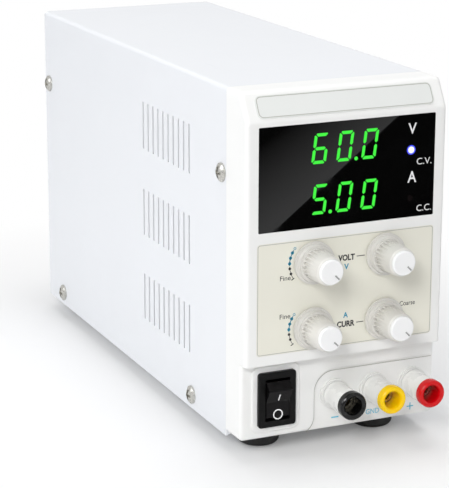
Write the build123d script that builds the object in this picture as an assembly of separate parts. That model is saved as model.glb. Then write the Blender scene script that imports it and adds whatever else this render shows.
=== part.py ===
from build123d import *
import math
import os

os.makedirs("parts", exist_ok=True)

# A compact bench power supply. Millimetres, +Z up, +X to the right seen from the front,
# the front faces -Y. The origin is under the middle of the outline, on the table.

# Case
case_width = 80.0
cover_depth = 198.0
cover_sheet = 0.9
cover_bend = 1.6
chassis_sheet = 1.0
cover_hang = 0.4
flange_height = 10.0
rear_flange_depth = 12.0
rear_inset = 0.5
slot_width = 1.3
slot_length = 19.0
slot_pitch = 5.1
slot_count = 10
slot_rows = 3
slot_row_pitch = 35.1
slot_first_back = 33.9
slot_row_base = 22.0

# Feet
foot_height = 6.6
foot_radius = 8.0
foot_inset_x = 15.9
foot_front_back = 5.9
foot_rear_ahead = 16.0
foot_recess = 3.4
foot_round = 2.0
foot_recess_gap = 0.6

# Front frame, listed from the bottom up
frame_lift = 1.9
lower_height = 29.5
overlay_gap = 3.8
overlay_height = 41.6
window_gap = 4.0
window_height = 38.1
slope_gap = 1.8
slope_rise = 10.1
slope_back = 5.8
upper_reach = 17.1
lower_reach = 12.8
frame_wall = 2.2
panel_wall = 2.6
lip_wall = 2.0
lip_depth = 8.0
overlay_side = 4.3
overlay_thickness = 0.4
window_side = 4.7
window_thickness = 1.5
window_ledge = 1.5
strip_length = 70.4
strip_height = 8.6
strip_thickness = 0.3
strip_corner = 2.0
slope_soft = 3.0
crest_round = 2.5
lower_round = 1.4
window_corner = 0.5
overlay_corner = 1.2
boss_radius = 2.5
lug_size = 7.0
lug_height = 5.5
lug_floor = 1.0
flange_gap = 1.0

# Terminal field, pressed a little into the lower part of the frame
field_depth = 0.9
field_left = -10.2
field_height = 23.1
field_corner = 8.3
field_flare = 5.4

# Knobs and their potentiometers
knob_left = -13.4
knob_pitch_x = 29.0
knob_row_low = 8.3
knob_pitch_z = 24.6
knob_gap = 0.5
knob_length = 14.4
knob_rest = 135.0
knob_fit = 0.01
skirt_radius = 7.9
skirt_edge = 0.9
ring_base_radius = 7.1
ring_top_radius = 6.8
ring_height = 1.8
grip_base_radius = 6.0
grip_top_radius = 5.3
grip_chamfer = 0.6
flute_count = 24
flute_depth = 0.25
flute_radius = 0.5
flute_length = 9.2
cap_radius = 4.6
cap_thickness = 1.3
cap_plug = 1.6
cap_plug_radius = 3.2
cap_round = 0.6
pot_shaft_radius = 3.0
pot_flat = 1.0
running_clearance = 0.05
pot_bushing_radius = 3.5
pot_body_width = 11.0
pot_body_height = 12.0
pot_bushing_stand = 0.3
pointer_width = 0.7
pointer_depth = 0.3

# Output posts
post_first = -1.5
post_pitch = 16.3
post_height = 13.1
collar_radius = 5.9
collar_step_radius = 5.5
collar_thickness = 1.1
collar_step = 0.8
collar_neck_radius = 3.8
stud_radius = 3.0
plug_radius = 2.02
stud_reach = 9.3
stud_tail = 2.5
wire_hole = 1.0
plug_depth = 16.5
barrel_radius = 5.0
barrel_flare = 0.25
barrel_length = 10.8
post_cap_radius = 5.3
post_cap_length = 3.3
post_cap_hole = 3.15
post_cap_spigot = 3.5
spigot_radius = 4.3
cap_edge = 0.8
cap_mouth = 1.0
barrel_lip = 0.8
insert_wall = 0.85
part_gap = 0.2
post_nut_width = 9.0
post_nut_thickness = 2.6
tag_thickness = 0.6
tag_length = 10.0
tag_width = 3.0

# Mains rocker switch
switch_x = -26.1
switch_height = 15.3
switch_width = 15.0
switch_tall = 21.0
switch_flange = 1.6
switch_body_width = 13.0
switch_body_tall = 19.2
switch_body_depth = 12.0
switch_body_corner = 0.4
switch_pad = 0.8
switch_border = 2.2
opening_width = 9.9
opening_tall = 16.1
rocker_clearance = 0.3
rocker_pivot_depth = 3.2
rocker_half = 7.6
rocker_end = 1.7
rocker_ridge = 5.7
rocker_stand = 1.75
rocker_dip = 0.3
rocker_heel_half = 4.2
rocker_heel = 2.6
rocker_edge = 0.5
rocker_tilt = 14.0
rocker_cavity = 10.0
rocker_pin_radius = 1.0
pin_half = 5.7
switch_corner = 1.2
switch_edge = 0.5
pad_corner = 3.0
tab_pitch_x = 7.0
tab_pitch_z = 10.0
tab_thickness = 0.8
tab_width = 4.8
tab_length = 8.0

# Cooling fan
fan_size = 60.0
fan_depth = 15.0
fan_bore = 28.6
fan_hole_pitch = 50.0
fan_hub = 13.0
fan_blades = 7
fan_tip_clearance = 0.8
fan_top_gap = 3.0
fan_corner = 4.0
fan_screw_radius = 1.9
motor_plate = 2.5
strut_width = 3.0
bush_radius = 3.5
bush_length = 8.0
bush_gap = 0.8
spindle_radius = 1.5
rotor_gap = 0.6
blade_thickness = 1.4
blade_pitch = 38.0
eye_radius = 3.9
guard_wire = 0.8
guard_rings = [9.0, 15.6, 22.3, 29.0]

# Mains inlet with its fuse drawer
inlet_x = -16.0
inlet_low = 9.5
inlet_width = 31.0
inlet_tall = 37.0
inlet_flange = 3.0
inlet_body_width = 27.0
inlet_body_tall = 33.0
inlet_body_depth = 24.0
socket_width = 24.6
socket_tall = 16.8
socket_depth = 18.0
socket_up = 6.4
socket_chamfer = 4.0
pin_width = 2.0
pin_tall = 4.0
pin_reach = 15.0
pin_pitch = 14.0
line_pin_drop = 1.6
earth_pin_rise = 2.4
drawer_width = 22.0
drawer_tall = 8.0
drawer_depth = 19.0
drawer_down = 9.6
drawer_lip = 1.0
drawer_clearance = 0.3
fuse_radius = 2.5
fuse_length = 20.0

# Mains voltage selector
selector_x = 21.0
selector_width = 29.0
selector_tall = 15.0
selector_flange = 1.4
selector_body_width = 23.0
selector_body_tall = 12.0
selector_body_depth = 12.0
selector_slot_width = 14.0
selector_slot_tall = 7.0
selector_slot_depth = 4.0
slider_width = 6.4

# Boards and what stands on them
board_thickness = 1.6
front_board_lift = 1.4
front_board_roof_gap = 8.0
board_screw_edge = 3.4
display_depth = 7.0
module_width = 32.0
module_height = 14.6
digits_x = -1.0
digit_row_low = 10.2
digit_row_pitch = 18.6
lamp_x = 25.5
lamp_down = 3.6
lamp_radius = 1.5
lamp_foot = 0.3
spacer_height = 7.0
spacer_width = 6.0
spacer_inset_x = 4.0
spacer_inset_y = 5.0
board_side = 6.0
board_front_back = 24.0
board_rear_gap = 5.0
core_share = 0.45
bulk_share = 0.68
choke_share = 0.84
output_share = 0.15
core_length = 34.0
core_width = 28.0
core_thickness = 12.0
leg_length = 8.0
window_of_core_length = 8.5
window_of_core_width = 18.0
winding_height = 24.0
winding_under = 6.0
bulk_radius = 8.0
bulk_height = 36.0
output_radius = 5.0
output_height = 22.0
choke_radius = 12.5
choke_hole = 5.5
choke_height = 11.0
sink_length = 100.0
sink_height = 50.0
sink_base = 3.0
sink_fin = 9.0
sink_fin_thickness = 1.6
sink_fin_count = 7
sink_side = 0.5
transistor_width = 10.0
transistor_height = 15.0
transistor_thickness = 4.5
lead_radius = 0.9

# Fasteners
cover_screw_head = 3.5
cover_screw_dome = 2.0
cover_screw_shank = 1.45
cover_screw_length = 6.0
screw_clearance = 0.25
small_screw_head = 2.8
small_screw_dome = 1.6
small_screw_shank = 1.3
small_screw_length = 8.0
side_screw_low = 5.1
side_screw_high = 98.8
side_screw_front_high = 3.9
side_screw_front_low = 31.8
side_screw_rear_low = 18.9
side_screw_rear_high = 5.2

# Heights that follow from the stack of front parts
cover_bottom = foot_height - cover_hang
floor_under = foot_height
floor_top = floor_under + chassis_sheet
frame_bottom = cover_bottom + frame_lift
step_z = frame_bottom + lower_height
overlay_bottom = step_z + overlay_gap
overlay_top = overlay_bottom + overlay_height
window_bottom = overlay_top + window_gap
window_top = window_bottom + window_height
slope_start = window_top + slope_gap
cover_top = slope_start + slope_rise
cover_inner_top = cover_top - cover_sheet

# Lengths along Y, centred on the whole outline
knob_reach = upper_reach + knob_gap + knob_length
rear_reach = inlet_flange + drawer_lip - rear_inset
whole_length = knob_reach + cover_depth + rear_reach
cover_front = knob_reach - whole_length / 2
cover_rear = cover_front + cover_depth
wall_outer = cover_rear - rear_inset
wall_inner = wall_outer - chassis_sheet
upper_face = cover_front - upper_reach
lower_face = cover_front - lower_reach
field_face = lower_face + field_depth
panel_back = upper_face + panel_wall
lower_back = lower_face + panel_wall + field_depth
half_width = case_width / 2
inner_half = half_width - cover_sheet
flange_inner = inner_half - chassis_sheet

# Places of the inner parts
front_board_bottom = overlay_bottom + front_board_lift
front_board_top = cover_top - frame_wall - front_board_roof_gap
display_back = upper_face + window_thickness + display_depth
front_board_front = display_back
front_board_back = front_board_front + board_thickness
fan_z = cover_inner_top - fan_top_gap - fan_size / 2
inlet_z = floor_top + inlet_low + inlet_tall / 2
selector_z = inlet_z
board_bottom = floor_top + spacer_height
board_top = board_bottom + board_thickness
board_half = half_width - board_side
board_front = cover_front + board_front_back
inlet_back = wall_outer - inlet_body_depth
board_rear = inlet_back - tab_length - board_rear_gap
switch_z = frame_bottom + switch_height
pad_face = lower_face - switch_pad
switch_front = pad_face - switch_flange
board_length = board_rear - board_front
core_y = board_front + core_share * board_length
bulk_y = board_front + bulk_share * board_length
choke_y = board_front + choke_share * board_length
output_y = board_front + output_share * board_length
sink_y0 = core_y - sink_length / 2
sink_face = board_half - sink_side - sink_fin - sink_base

# Places along an output post
collar_front = field_face - collar_thickness - collar_step
stud_end = field_face - stud_reach
barrel_back = collar_front - part_gap
barrel_front = barrel_back - barrel_length
tag_back = lower_back + tag_thickness
nut_back = tag_back + post_nut_thickness
stud_back = nut_back + stud_tail
insert_radius = stud_radius + running_clearance + insert_wall
insert_front = barrel_front + post_cap_spigot + part_gap


def block(x0, x1, y0, y1, z0, z1):
    centre = Pos((x0 + x1) / 2, (y0 + y1) / 2, (z0 + z1) / 2)
    return centre * Box(abs(x1 - x0), abs(y1 - y0), abs(z1 - z0))


def rod_x(radius, x0, x1, y, z):
    return Pos((x0 + x1) / 2, y, z) * Rot(0, 90, 0) * Cylinder(radius, abs(x1 - x0))


def rod_y(radius, y0, y1, x, z):
    return Pos(x, (y0 + y1) / 2, z) * Rot(90, 0, 0) * Cylinder(radius, abs(y1 - y0))


def rod_z(radius, z0, z1, x, y):
    return Pos(x, y, (z0 + z1) / 2) * Cylinder(radius, abs(z1 - z0))


def side_profile(points, corners=()):
    """A face in the YZ plane. Each corner is (point, radius)."""
    face = make_face(Polyline([(y, z) for y, z in points], close=True))
    for (y, z), radius in corners:
        spot = face.vertices().sort_by_distance((y, z, 0))[0]
        face = fillet(spot, radius)
    return Plane.YZ * face


def front_plate(width, height, corner, x, z, y0, y1):
    """A plate with rounded corners that faces the front, from y0 to y1."""
    outline = Pos(x, z) * RectangleRounded(width, height, corner)
    return extrude(Plane.XZ.offset(-max(y0, y1)) * outline, abs(y1 - y0))


def turned(profile, x, y, z):
    """A solid of revolution about Y. The profile is (radius, distance forward)."""
    face = make_face(Polyline([(r, d) for r, d in profile], close=True))
    solid = revolve(Plane.XY * face, Axis.Y)
    return Pos(x, y, z) * Rot(180, 0, 0) * solid


def slotted_head(radius, dome, drive):
    """A domed screw head on the XY plane, rising to +Z, with a cross recess."""
    edge = dome * 0.35
    rise = dome - edge
    sphere = (radius * radius + rise * rise) / (2 * rise)
    half = radius / 2
    middle = dome - sphere + math.sqrt(sphere * sphere - half * half)
    curve = ThreePointArc((radius, edge), (half, middle), (0, dome))
    outline = Polyline((0, dome), (0, 0), (radius, 0), (radius, edge)) + curve
    head = revolve(Plane.XZ * make_face(outline), Axis.Z)
    for angle in (0, 90):
        arm = Pos(0, 0, dome) * Rot(0, 0, angle) * Box(drive, drive * 0.24, dome)
        head -= arm
    return head


def cover_screw():
    """Along Z: the head above the plane, the shank below."""
    head = slotted_head(cover_screw_head, cover_screw_dome, cover_screw_head * 1.25)
    return head + rod_z(cover_screw_shank, -cover_screw_length, 0, 0, 0)


def small_screw():
    head = slotted_head(small_screw_head, small_screw_dome, small_screw_head * 1.25)
    return head + rod_z(small_screw_shank, -small_screw_length, 0, 0, 0)


def side_screw_spots():
    low = floor_under + side_screw_low
    high = floor_under + side_screw_high
    return [
        (cover_front + side_screw_front_high, high),
        (cover_front + side_screw_front_low, low),
        (cover_rear - side_screw_rear_low, low),
        (cover_rear - side_screw_rear_high, high),
    ]


def foot_spots():
    front = cover_front + foot_front_back
    rear = cover_rear - foot_rear_ahead
    across = half_width - foot_inset_x
    return [(x, y) for y in (front, rear) for x in (-across, across)]


def frame_lug_spots():
    """The screws of the two front feet also hold the front frame."""
    return [spot for spot in foot_spots() if spot[1] < 0]


def front_board_spots():
    across = half_width - frame_wall - board_screw_edge
    low = front_board_bottom + board_screw_edge
    high = front_board_top - board_screw_edge
    return [(x, z) for z in (low, high) for x in (-across, across)]


def knob_spots():
    low = overlay_bottom + knob_row_low
    high = low + knob_pitch_z
    right = knob_left + knob_pitch_x
    return {
        "volt_fine": (knob_left, high),
        "volt_coarse": (right, high),
        "current_fine": (knob_left, low),
        "current_coarse": (right, low),
    }


def post_spots():
    z = frame_bottom + post_height
    names = ("black", "yellow", "red")
    return {name: (post_first + i * post_pitch, z) for i, name in enumerate(names)}


# Cover: one folded sheet, roof and two sides
def make_cover():
    outer = block(-half_width, half_width, cover_front, cover_rear, cover_bottom, cover_top)
    outer = fillet(outer.edges().filter_by(Axis.Y).group_by(Axis.Z)[-1], cover_bend)
    inner = block(-inner_half, inner_half, cover_front - 1, cover_rear + 1,
                  cover_bottom - 1, cover_inner_top)
    inner_bend = cover_bend - cover_sheet
    inner = fillet(inner.edges().filter_by(Axis.Y).group_by(Axis.Z)[-1], inner_bend)
    cover = outer - inner
    slots = Sketch()
    for row in range(slot_rows):
        z = cover_bottom + slot_row_base + slot_length / 2 + row * slot_row_pitch
        for i in range(slot_count):
            y = cover_front + slot_first_back + i * slot_pitch
            slots += Pos(y, z) * Rot(0, 0, 90) * SlotOverall(slot_length, slot_width)
    cover -= extrude(Plane.YZ * slots, half_width + 1, both=True)
    for y, z in side_screw_spots():
        cover -= rod_x(cover_screw_shank + screw_clearance, -half_width - 1, half_width + 1, y, z)
    return cover


# Chassis: floor, rear wall and their side flanges, folded from one sheet
def make_chassis():
    rear_top = cover_inner_top - part_gap
    flange_start = cover_front + lip_depth + flange_gap
    floor = block(-inner_half, inner_half, cover_front, wall_outer, floor_under, floor_top)
    wall = block(-inner_half, inner_half, wall_inner, wall_outer, floor_under, rear_top)
    wall = fillet(wall.edges().filter_by(Axis.Y).group_by(Axis.Z)[-1], cover_bend)
    chassis = floor + wall
    for side in (-1, 1):
        low = block(side * flange_inner, side * inner_half, flange_start, wall_outer,
                    floor_under, floor_under + flange_height)
        high = block(side * flange_inner, side * inner_half, wall_outer - rear_flange_depth,
                     wall_outer, floor_under, rear_top - cover_bend)
        chassis += low + high
    chassis -= rod_y(fan_bore, wall_inner - 1, wall_outer + 1, 0, fan_z)
    for x, z in fan_hole_spots():
        chassis -= rod_y(fan_screw_radius + screw_clearance, wall_inner - 1, wall_outer + 1, x, z)
    chassis -= block(inlet_x - inlet_body_width / 2, inlet_x + inlet_body_width / 2,
                     wall_inner - 1, wall_outer + 1,
                     inlet_z - inlet_body_tall / 2, inlet_z + inlet_body_tall / 2)
    chassis -= block(selector_x - selector_body_width / 2, selector_x + selector_body_width / 2,
                     wall_inner - 1, wall_outer + 1,
                     selector_z - selector_body_tall / 2, selector_z + selector_body_tall / 2)
    for y, z in side_screw_spots():
        chassis -= rod_x(cover_screw_shank + running_clearance,
                         -half_width - 1, half_width + 1, y, z)
    for x, y in foot_spots():
        chassis -= rod_z(small_screw_shank + running_clearance, 0, floor_top + 1, x, y)
    return chassis



def fan_hole_spots():
    half = fan_hole_pitch / 2
    return [(x, fan_z + z) for x in (-half, half) for z in (-half, half)]


def spacer_spots():
    across = board_half - spacer_inset_x
    front = board_front + spacer_inset_y
    rear = board_rear - spacer_inset_y
    return [(x, y) for y in (front, rear) for x in (-across, across)]


# Front frame: one moulding that closes the front of the cover
def frame_upper_block():
    y0 = upper_face
    start = (y0, slope_start)
    crest = (y0 + slope_back, cover_top)
    points = [(cover_front, step_z), (y0, step_z), start, crest, (cover_front, cover_top)]
    face = side_profile(points, [(start, slope_soft), (crest, crest_round)])
    upper = extrude(face, half_width, both=True)
    rims = [
        e for e in upper.edges()
        if abs(abs(e.center().X) - half_width) < 0.01
        and e.center().Y < cover_front - 0.1
        and e.center().Z > step_z + 0.1
    ]
    return fillet(rims, cover_bend)



def frame_lower_block():
    lower = block(-half_width, half_width, lower_face, cover_front,
                  frame_bottom, step_z + frame_wall)
    rims = [
        e for e in lower.edges()
        if e.center().Y < cover_front - 0.1
        and e.center().Z < step_z
        and not (abs(e.center().Y - lower_face) > 0.01 and abs(e.center().X) < 1)
    ]
    return fillet(rims, lower_round)


def frame_cavity():
    y0 = panel_back
    rear = cover_front - lip_wall
    slope = slope_back / slope_rise
    lean = frame_wall * (math.sqrt(1 + slope * slope) - slope)
    roof = cover_top - frame_wall
    start_z = slope_start + lean - frame_wall
    crest_y = y0 + (roof - start_z) * slope
    points = [(rear, step_z + frame_wall), (y0, step_z + frame_wall), (y0, start_z),
              (crest_y, roof), (rear, roof)]
    upper = extrude(side_profile(points), half_width - frame_wall, both=True)
    lower = block(-half_width + frame_wall, half_width - frame_wall, lower_back, rear,
                  frame_bottom + frame_wall, step_z + frame_wall + 1)
    return upper + lower


def frame_lip():
    """The rim that slides into the cover, and the way through it."""
    lip_top = cover_inner_top - part_gap
    outer = block(-inner_half, inner_half, cover_front - lip_wall, cover_front + lip_depth,
                  floor_top, lip_top)
    outer = fillet(outer.edges().filter_by(Axis.Y).group_by(Axis.Z)[-1], cover_bend - cover_sheet)
    inner_x = inner_half - lip_wall
    way = block(-inner_x, inner_x, cover_front - lip_wall - 1, cover_front + lip_depth + 1,
                floor_top + lip_wall, lip_top - lip_wall)
    return outer, way


def terminal_field():
    """The shape that is pressed into the lower right of the frame."""
    top = frame_bottom + field_height
    outline = make_face(Polyline(
        (field_left, frame_bottom - 2), (field_left, top),
        (half_width + 1, top), (half_width + 1, frame_bottom - 2), close=True))
    corner = outline.vertices().sort_by_distance((field_left, top, 0))[0]
    outline = fillet(corner, field_corner)
    flare_x = field_left - field_flare
    flare = Pos(field_left - field_flare / 2, frame_bottom + field_flare / 2 - 1)
    flare = flare * Rectangle(field_flare, field_flare + 2)
    flare -= Pos(flare_x, frame_bottom + field_flare) * Circle(field_flare)
    shape = outline + flare
    return extrude(Plane.XZ.offset(-field_face) * shape, field_depth + 2)


def frame_openings():
    """Everything that is cut out of the front walls."""
    cuts = []
    win_z = (window_bottom + window_top) / 2
    win_w = case_width - 2 * window_side
    cuts.append(front_plate(win_w, window_height, window_corner, 0, win_z,
                            upper_face - 1, upper_face + window_thickness))
    cuts.append(front_plate(win_w - 2 * window_ledge, window_height - 2 * window_ledge,
                            window_corner, 0, win_z, upper_face, panel_back + 1))
    over_z = (overlay_bottom + overlay_top) / 2
    cuts.append(front_plate(case_width - 2 * overlay_side, overlay_height, overlay_corner,
                            0, over_z, upper_face - 1, upper_face + overlay_thickness))
    for x, z in knob_spots().values():
        cuts.append(rod_y(pot_bushing_radius + rocker_clearance,
                          upper_face, panel_back + 1, x, z))
    cuts.append(front_plate(switch_body_width, switch_body_tall, switch_body_corner,
                            switch_x, switch_z, pad_face - 1, lower_back + 1))
    for x, z in post_spots().values():
        cuts.append(rod_y(collar_neck_radius, lower_face - 1, lower_back + 1, x, z))
    return cuts



def make_frame():
    frame = frame_upper_block() + frame_lower_block()
    lip, way = frame_lip()
    frame = frame + lip
    frame = frame - frame_cavity() - way
    frame -= terminal_field()
    pad = front_plate(switch_width + 2 * switch_border, switch_tall + 2 * switch_border, pad_corner,
                      switch_x, switch_z, pad_face, lower_face + 0.2)
    frame += fillet(pad.faces().sort_by(Axis.Y)[0].edges(), switch_pad * 0.7)
    for x, z in front_board_spots():
        frame += rod_y(boss_radius, panel_back - 0.2, front_board_front, x, z)
    for side in (-1, 1):
        y, z = side_screw_spots()[0]
        x_out = side * (inner_half - lip_wall / 2)
        x_in = side * (inner_half - lip_wall - cover_screw_length)
        frame += block(x_in, x_out, y - lug_size / 2, cover_front + lip_depth,
                       z - lug_size / 2, z + lug_size / 2)
    for x, y in frame_lug_spots():
        frame += block(x - lug_size / 2, x + lug_size / 2, y - lug_size / 2, y + lug_size / 2,
                       floor_top, floor_top + lug_height)
    for cut in frame_openings():
        frame -= cut
    y, z = side_screw_spots()[0]
    frame -= rod_x(cover_screw_shank + running_clearance, -half_width - 1, half_width + 1, y, z)
    for x, y in frame_lug_spots():
        frame -= rod_z(small_screw_shank + running_clearance,
                       floor_top - 1, floor_top + lug_height - lug_floor, x, y)
    for x, z in front_board_spots():
        frame -= rod_y(small_screw_shank + running_clearance,
                       front_board_front - small_screw_length, front_board_front + 1, x, z)
    return frame


def make_strip():
    run = math.hypot(slope_back, slope_rise)
    lean = math.degrees(math.atan2(slope_back, slope_rise))
    lower_soft = slope_soft * math.tan(math.radians(lean) / 2)
    upper_soft = crest_round * math.tan(math.radians(90 - lean) / 2)
    along = (lower_soft + run - upper_soft) / 2
    y = upper_face + slope_back * along / run
    z = slope_start + slope_rise * along / run
    plate = extrude(RectangleRounded(strip_length, strip_height, strip_corner), strip_thickness)
    return Pos(0, y, z) * Rot(90 - lean, 0, 0) * plate


def make_window():
    z = (window_bottom + window_top) / 2
    return front_plate(case_width - 2 * window_side, window_height, window_corner, 0, z,
                       upper_face, upper_face + window_thickness)


def make_overlay():
    z = (overlay_bottom + overlay_top) / 2
    sheet = front_plate(case_width - 2 * overlay_side, overlay_height, overlay_corner, 0, z,
                        upper_face, upper_face + overlay_thickness)
    for x, z in knob_spots().values():
        sheet -= rod_y(pot_bushing_radius + rocker_clearance,
                       upper_face - 1, panel_back, x, z)
    return sheet


# Screws and feet
def make_cover_screws():
    group = []
    for y, z in side_screw_spots():
        group.append(Pos(-half_width, y, z) * Rot(0, -90, 0) * cover_screw())
        group.append(Pos(half_width, y, z) * Rot(0, 90, 0) * cover_screw())
    return Compound(children=group)


def make_small_screws():
    """One kind of screw holds both boards and the feet."""
    group = [Pos(x, front_board_back, z) * Rot(-90, 0, 0) * small_screw()
             for x, z in front_board_spots()]
    group += [Pos(x, y, board_top) * small_screw() for x, y in spacer_spots()]
    group += [Pos(x, y, foot_recess) * Rot(180, 0, 0) * small_screw() for x, y in foot_spots()]
    return Compound(children=group)


def make_feet():
    foot = rod_z(foot_radius, 0, foot_height, 0, 0)
    foot = fillet(foot.edges().group_by(Axis.Z)[0], foot_round)
    foot -= rod_z(small_screw_head + foot_recess_gap, -1, foot_recess, 0, 0)
    foot -= rod_z(small_screw_shank + screw_clearance, 0, foot_height + 1, 0, 0)
    return Compound(children=[Pos(x, y, 0) * foot for x, y in foot_spots()])



# Front board, displays and lamps
def make_front_board():
    half = half_width - frame_wall - part_gap
    board = block(-half, half, front_board_front, front_board_back,
                  front_board_bottom, front_board_top)
    for x, z in front_board_spots():
        board -= rod_y(small_screw_shank + screw_clearance,
                       front_board_front - 1, front_board_back + 1, x, z)
    return board



def digit_rows():
    low = window_bottom + digit_row_low
    return [low, low + digit_row_pitch]


def make_displays():
    group = []
    front = upper_face + window_thickness
    for z in digit_rows():
        group.append(block(digits_x - module_width / 2, digits_x + module_width / 2,
                           front, front_board_front, z - module_height / 2, z + module_height / 2))
    return Compound(children=group)


def make_lamps():
    group = []
    front = upper_face + window_thickness
    for z in digit_rows():
        lamp = rod_y(lamp_radius, front + part_gap, front_board_front, lamp_x, z - lamp_down)
        lamp += rod_y(lamp_radius + lamp_foot, front_board_front - lamp_radius,
                      front_board_front, lamp_x, z - lamp_down)
        group.append(lamp)
    return Compound(children=group)


# Potentiometers and knobs
def make_pots():
    group = []
    for x, z in knob_spots().values():
        body = block(x - pot_body_width / 2, x + pot_body_width / 2, panel_back, front_board_front,
                     z - pot_body_height / 2, z + pot_body_height / 2)
        body += rod_y(pot_bushing_radius, upper_face - pot_bushing_stand, panel_back + 1, x, z)
        body -= rod_y(pot_shaft_radius + running_clearance,
                      upper_face - 2, front_board_front - 1.0, x, z)
        group.append(body)
    return Compound(children=group)


def shaft_section(grow):
    circle = Circle(pot_shaft_radius + grow)
    flat = Pos(0, pot_shaft_radius) * Rectangle(4 * pot_shaft_radius, 2 * (pot_flat - grow))
    return circle - flat


def pointer_turn(shape):
    """Knob shapes are drawn with the pointer up and stand turned to the end of their track."""
    return Rot(0, knob_rest, 0) * shape



def make_shaft(x, z):
    inner = front_board_front - 1.2
    start = upper_face - knob_gap - skirt_edge
    end = upper_face - knob_gap - knob_length + cap_thickness + cap_plug + 0.4
    round_part = rod_y(pot_shaft_radius, start, inner, 0, 0)
    flat_part = extrude(Plane.XZ.offset(-start) * shaft_section(0), start - end)
    return Pos(x, 0, z) * pointer_turn(round_part + flat_part)


def make_knob(x, z):
    back = upper_face - knob_gap
    top = knob_length - cap_thickness
    rise = skirt_edge + ring_height
    profile = [
        (0, 0), (skirt_radius, 0), (skirt_radius, skirt_edge), (ring_base_radius, skirt_edge),
        (ring_top_radius, rise), (grip_base_radius, rise), (grip_top_radius, top - grip_chamfer),
        (grip_top_radius - grip_chamfer, top), (0, top),
    ]
    knob = turned(profile, 0, back, 0)
    knob -= rod_y(pot_shaft_radius + knob_fit, back - skirt_edge, back + 1, 0, 0)
    socket_end = back - knob_length + cap_thickness + cap_plug
    knob -= extrude(Plane.XZ.offset(-(back - skirt_edge)) * shaft_section(knob_fit),
                    back - skirt_edge - socket_end)
    knob -= rod_y(cap_plug_radius, back - top + cap_plug, back - top - 1, 0, 0)
    lean = math.degrees(math.atan2(grip_base_radius - grip_top_radius, top - rise))
    for i in range(flute_count):
        turn = 360 / flute_count * i
        middle = back - (top + rise) / 2
        radius = (grip_base_radius + grip_top_radius) / 2
        groove = Pos(0, middle, radius + flute_radius - flute_depth)
        groove = groove * Rot(-lean, 0, 0) * Rot(90, 0, 0) * Cylinder(flute_radius, flute_length)
        knob -= Rot(0, turn, 0) * groove
    return Pos(x, 0, z) * pointer_turn(knob)


def make_cap(x, z):
    back = upper_face - knob_gap - knob_length + cap_thickness
    cap = rod_y(cap_radius, back - cap_thickness, back, 0, 0)
    cap = fillet(cap.faces().sort_by(Axis.Y)[0].edges(), cap_round)
    cap += rod_y(cap_plug_radius, back, back + cap_plug, 0, 0)
    line = (cap_radius - cap_round) / 2
    cap -= block(-pointer_width / 2, pointer_width / 2,
                 back - cap_thickness - 1, back - cap_thickness + pointer_depth,
                 line - 0.3, cap_radius - cap_round + 0.2)
    return Pos(x, 0, z) * pointer_turn(cap)



# Output posts
def make_collars():
    group = []
    for x, z in post_spots().values():
        front = field_face - collar_thickness
        collar = rod_y(collar_radius, front, field_face, x, z)
        collar += rod_y(collar_step_radius, front - collar_step, front, x, z)
        collar += rod_y(collar_neck_radius, field_face, lower_back, x, z)
        collar -= rod_y(stud_radius, front - collar_step - 1, lower_back + 1, x, z)
        group.append(collar)
    return Compound(children=group)



def make_studs():
    group = []
    for x, z in post_spots().values():
        stud = rod_y(stud_radius, stud_end, stud_back, x, z)
        stud -= rod_y(plug_radius, stud_end - 1, stud_end + plug_depth, x, z)
        stud -= rod_z(wire_hole, z - stud_radius - 1, z + stud_radius + 1, x,
                      collar_front - wire_hole - part_gap)
        group.append(stud)
    return Compound(children=group)



def make_post_nuts():
    group = []
    for x, z in post_spots().values():
        nut = extrude(Plane.XZ.offset(-nut_back) * Pos(x, z)
                      * RegularPolygon(post_nut_width / 2, 6, major_radius=False),
                      post_nut_thickness)
        nut -= rod_y(stud_radius, tag_back - 1, nut_back + 1, x, z)
        group.append(nut)
    return Compound(children=group)


def make_post_tags():
    group = []
    for x, z in post_spots().values():
        tag = rod_y(post_nut_width / 2, lower_back, tag_back, x, z)
        tag += block(x - tag_width / 2, x + tag_width / 2, lower_back, tag_back, z, z + tag_length)
        tag -= rod_y(stud_radius, lower_back - 1, tag_back + 1, x, z)
        group.append(tag)
    return Compound(children=group)


def make_insert(x, z):
    tube = rod_y(insert_radius, insert_front, barrel_back, x, z)
    return tube - rod_y(stud_radius + running_clearance, insert_front - 1, barrel_back + 1, x, z)


def make_barrel(x, z):
    d = barrel_length
    inner = insert_radius + running_clearance
    profile = [(inner, 0), (barrel_radius + barrel_flare, 0), (barrel_radius + barrel_flare, barrel_lip),
               (barrel_radius, 2 * barrel_lip), (barrel_radius, d), (spigot_radius, d),
               (spigot_radius, d - post_cap_spigot), (inner, d - post_cap_spigot)]
    return turned(profile, x, barrel_back, z)



def make_post_cap(x, z):
    d = post_cap_length
    e = cap_edge
    r = post_cap_radius
    profile = [(post_cap_hole, -post_cap_spigot), (spigot_radius, -post_cap_spigot),
               (spigot_radius, 0), (r - 0.3, 0), (r, 0.3), (r, d - e),
               (r - 0.25 * e, d - 0.4 * e), (r - 0.55 * e, d - 0.1 * e), (r - e, d),
               (post_cap_hole + cap_mouth, d), (post_cap_hole + 0.3 * cap_mouth, d - 0.5 * cap_mouth),
               (post_cap_hole, d - 1.3 * cap_mouth)]
    return turned(profile, x, barrel_front, z)


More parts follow.
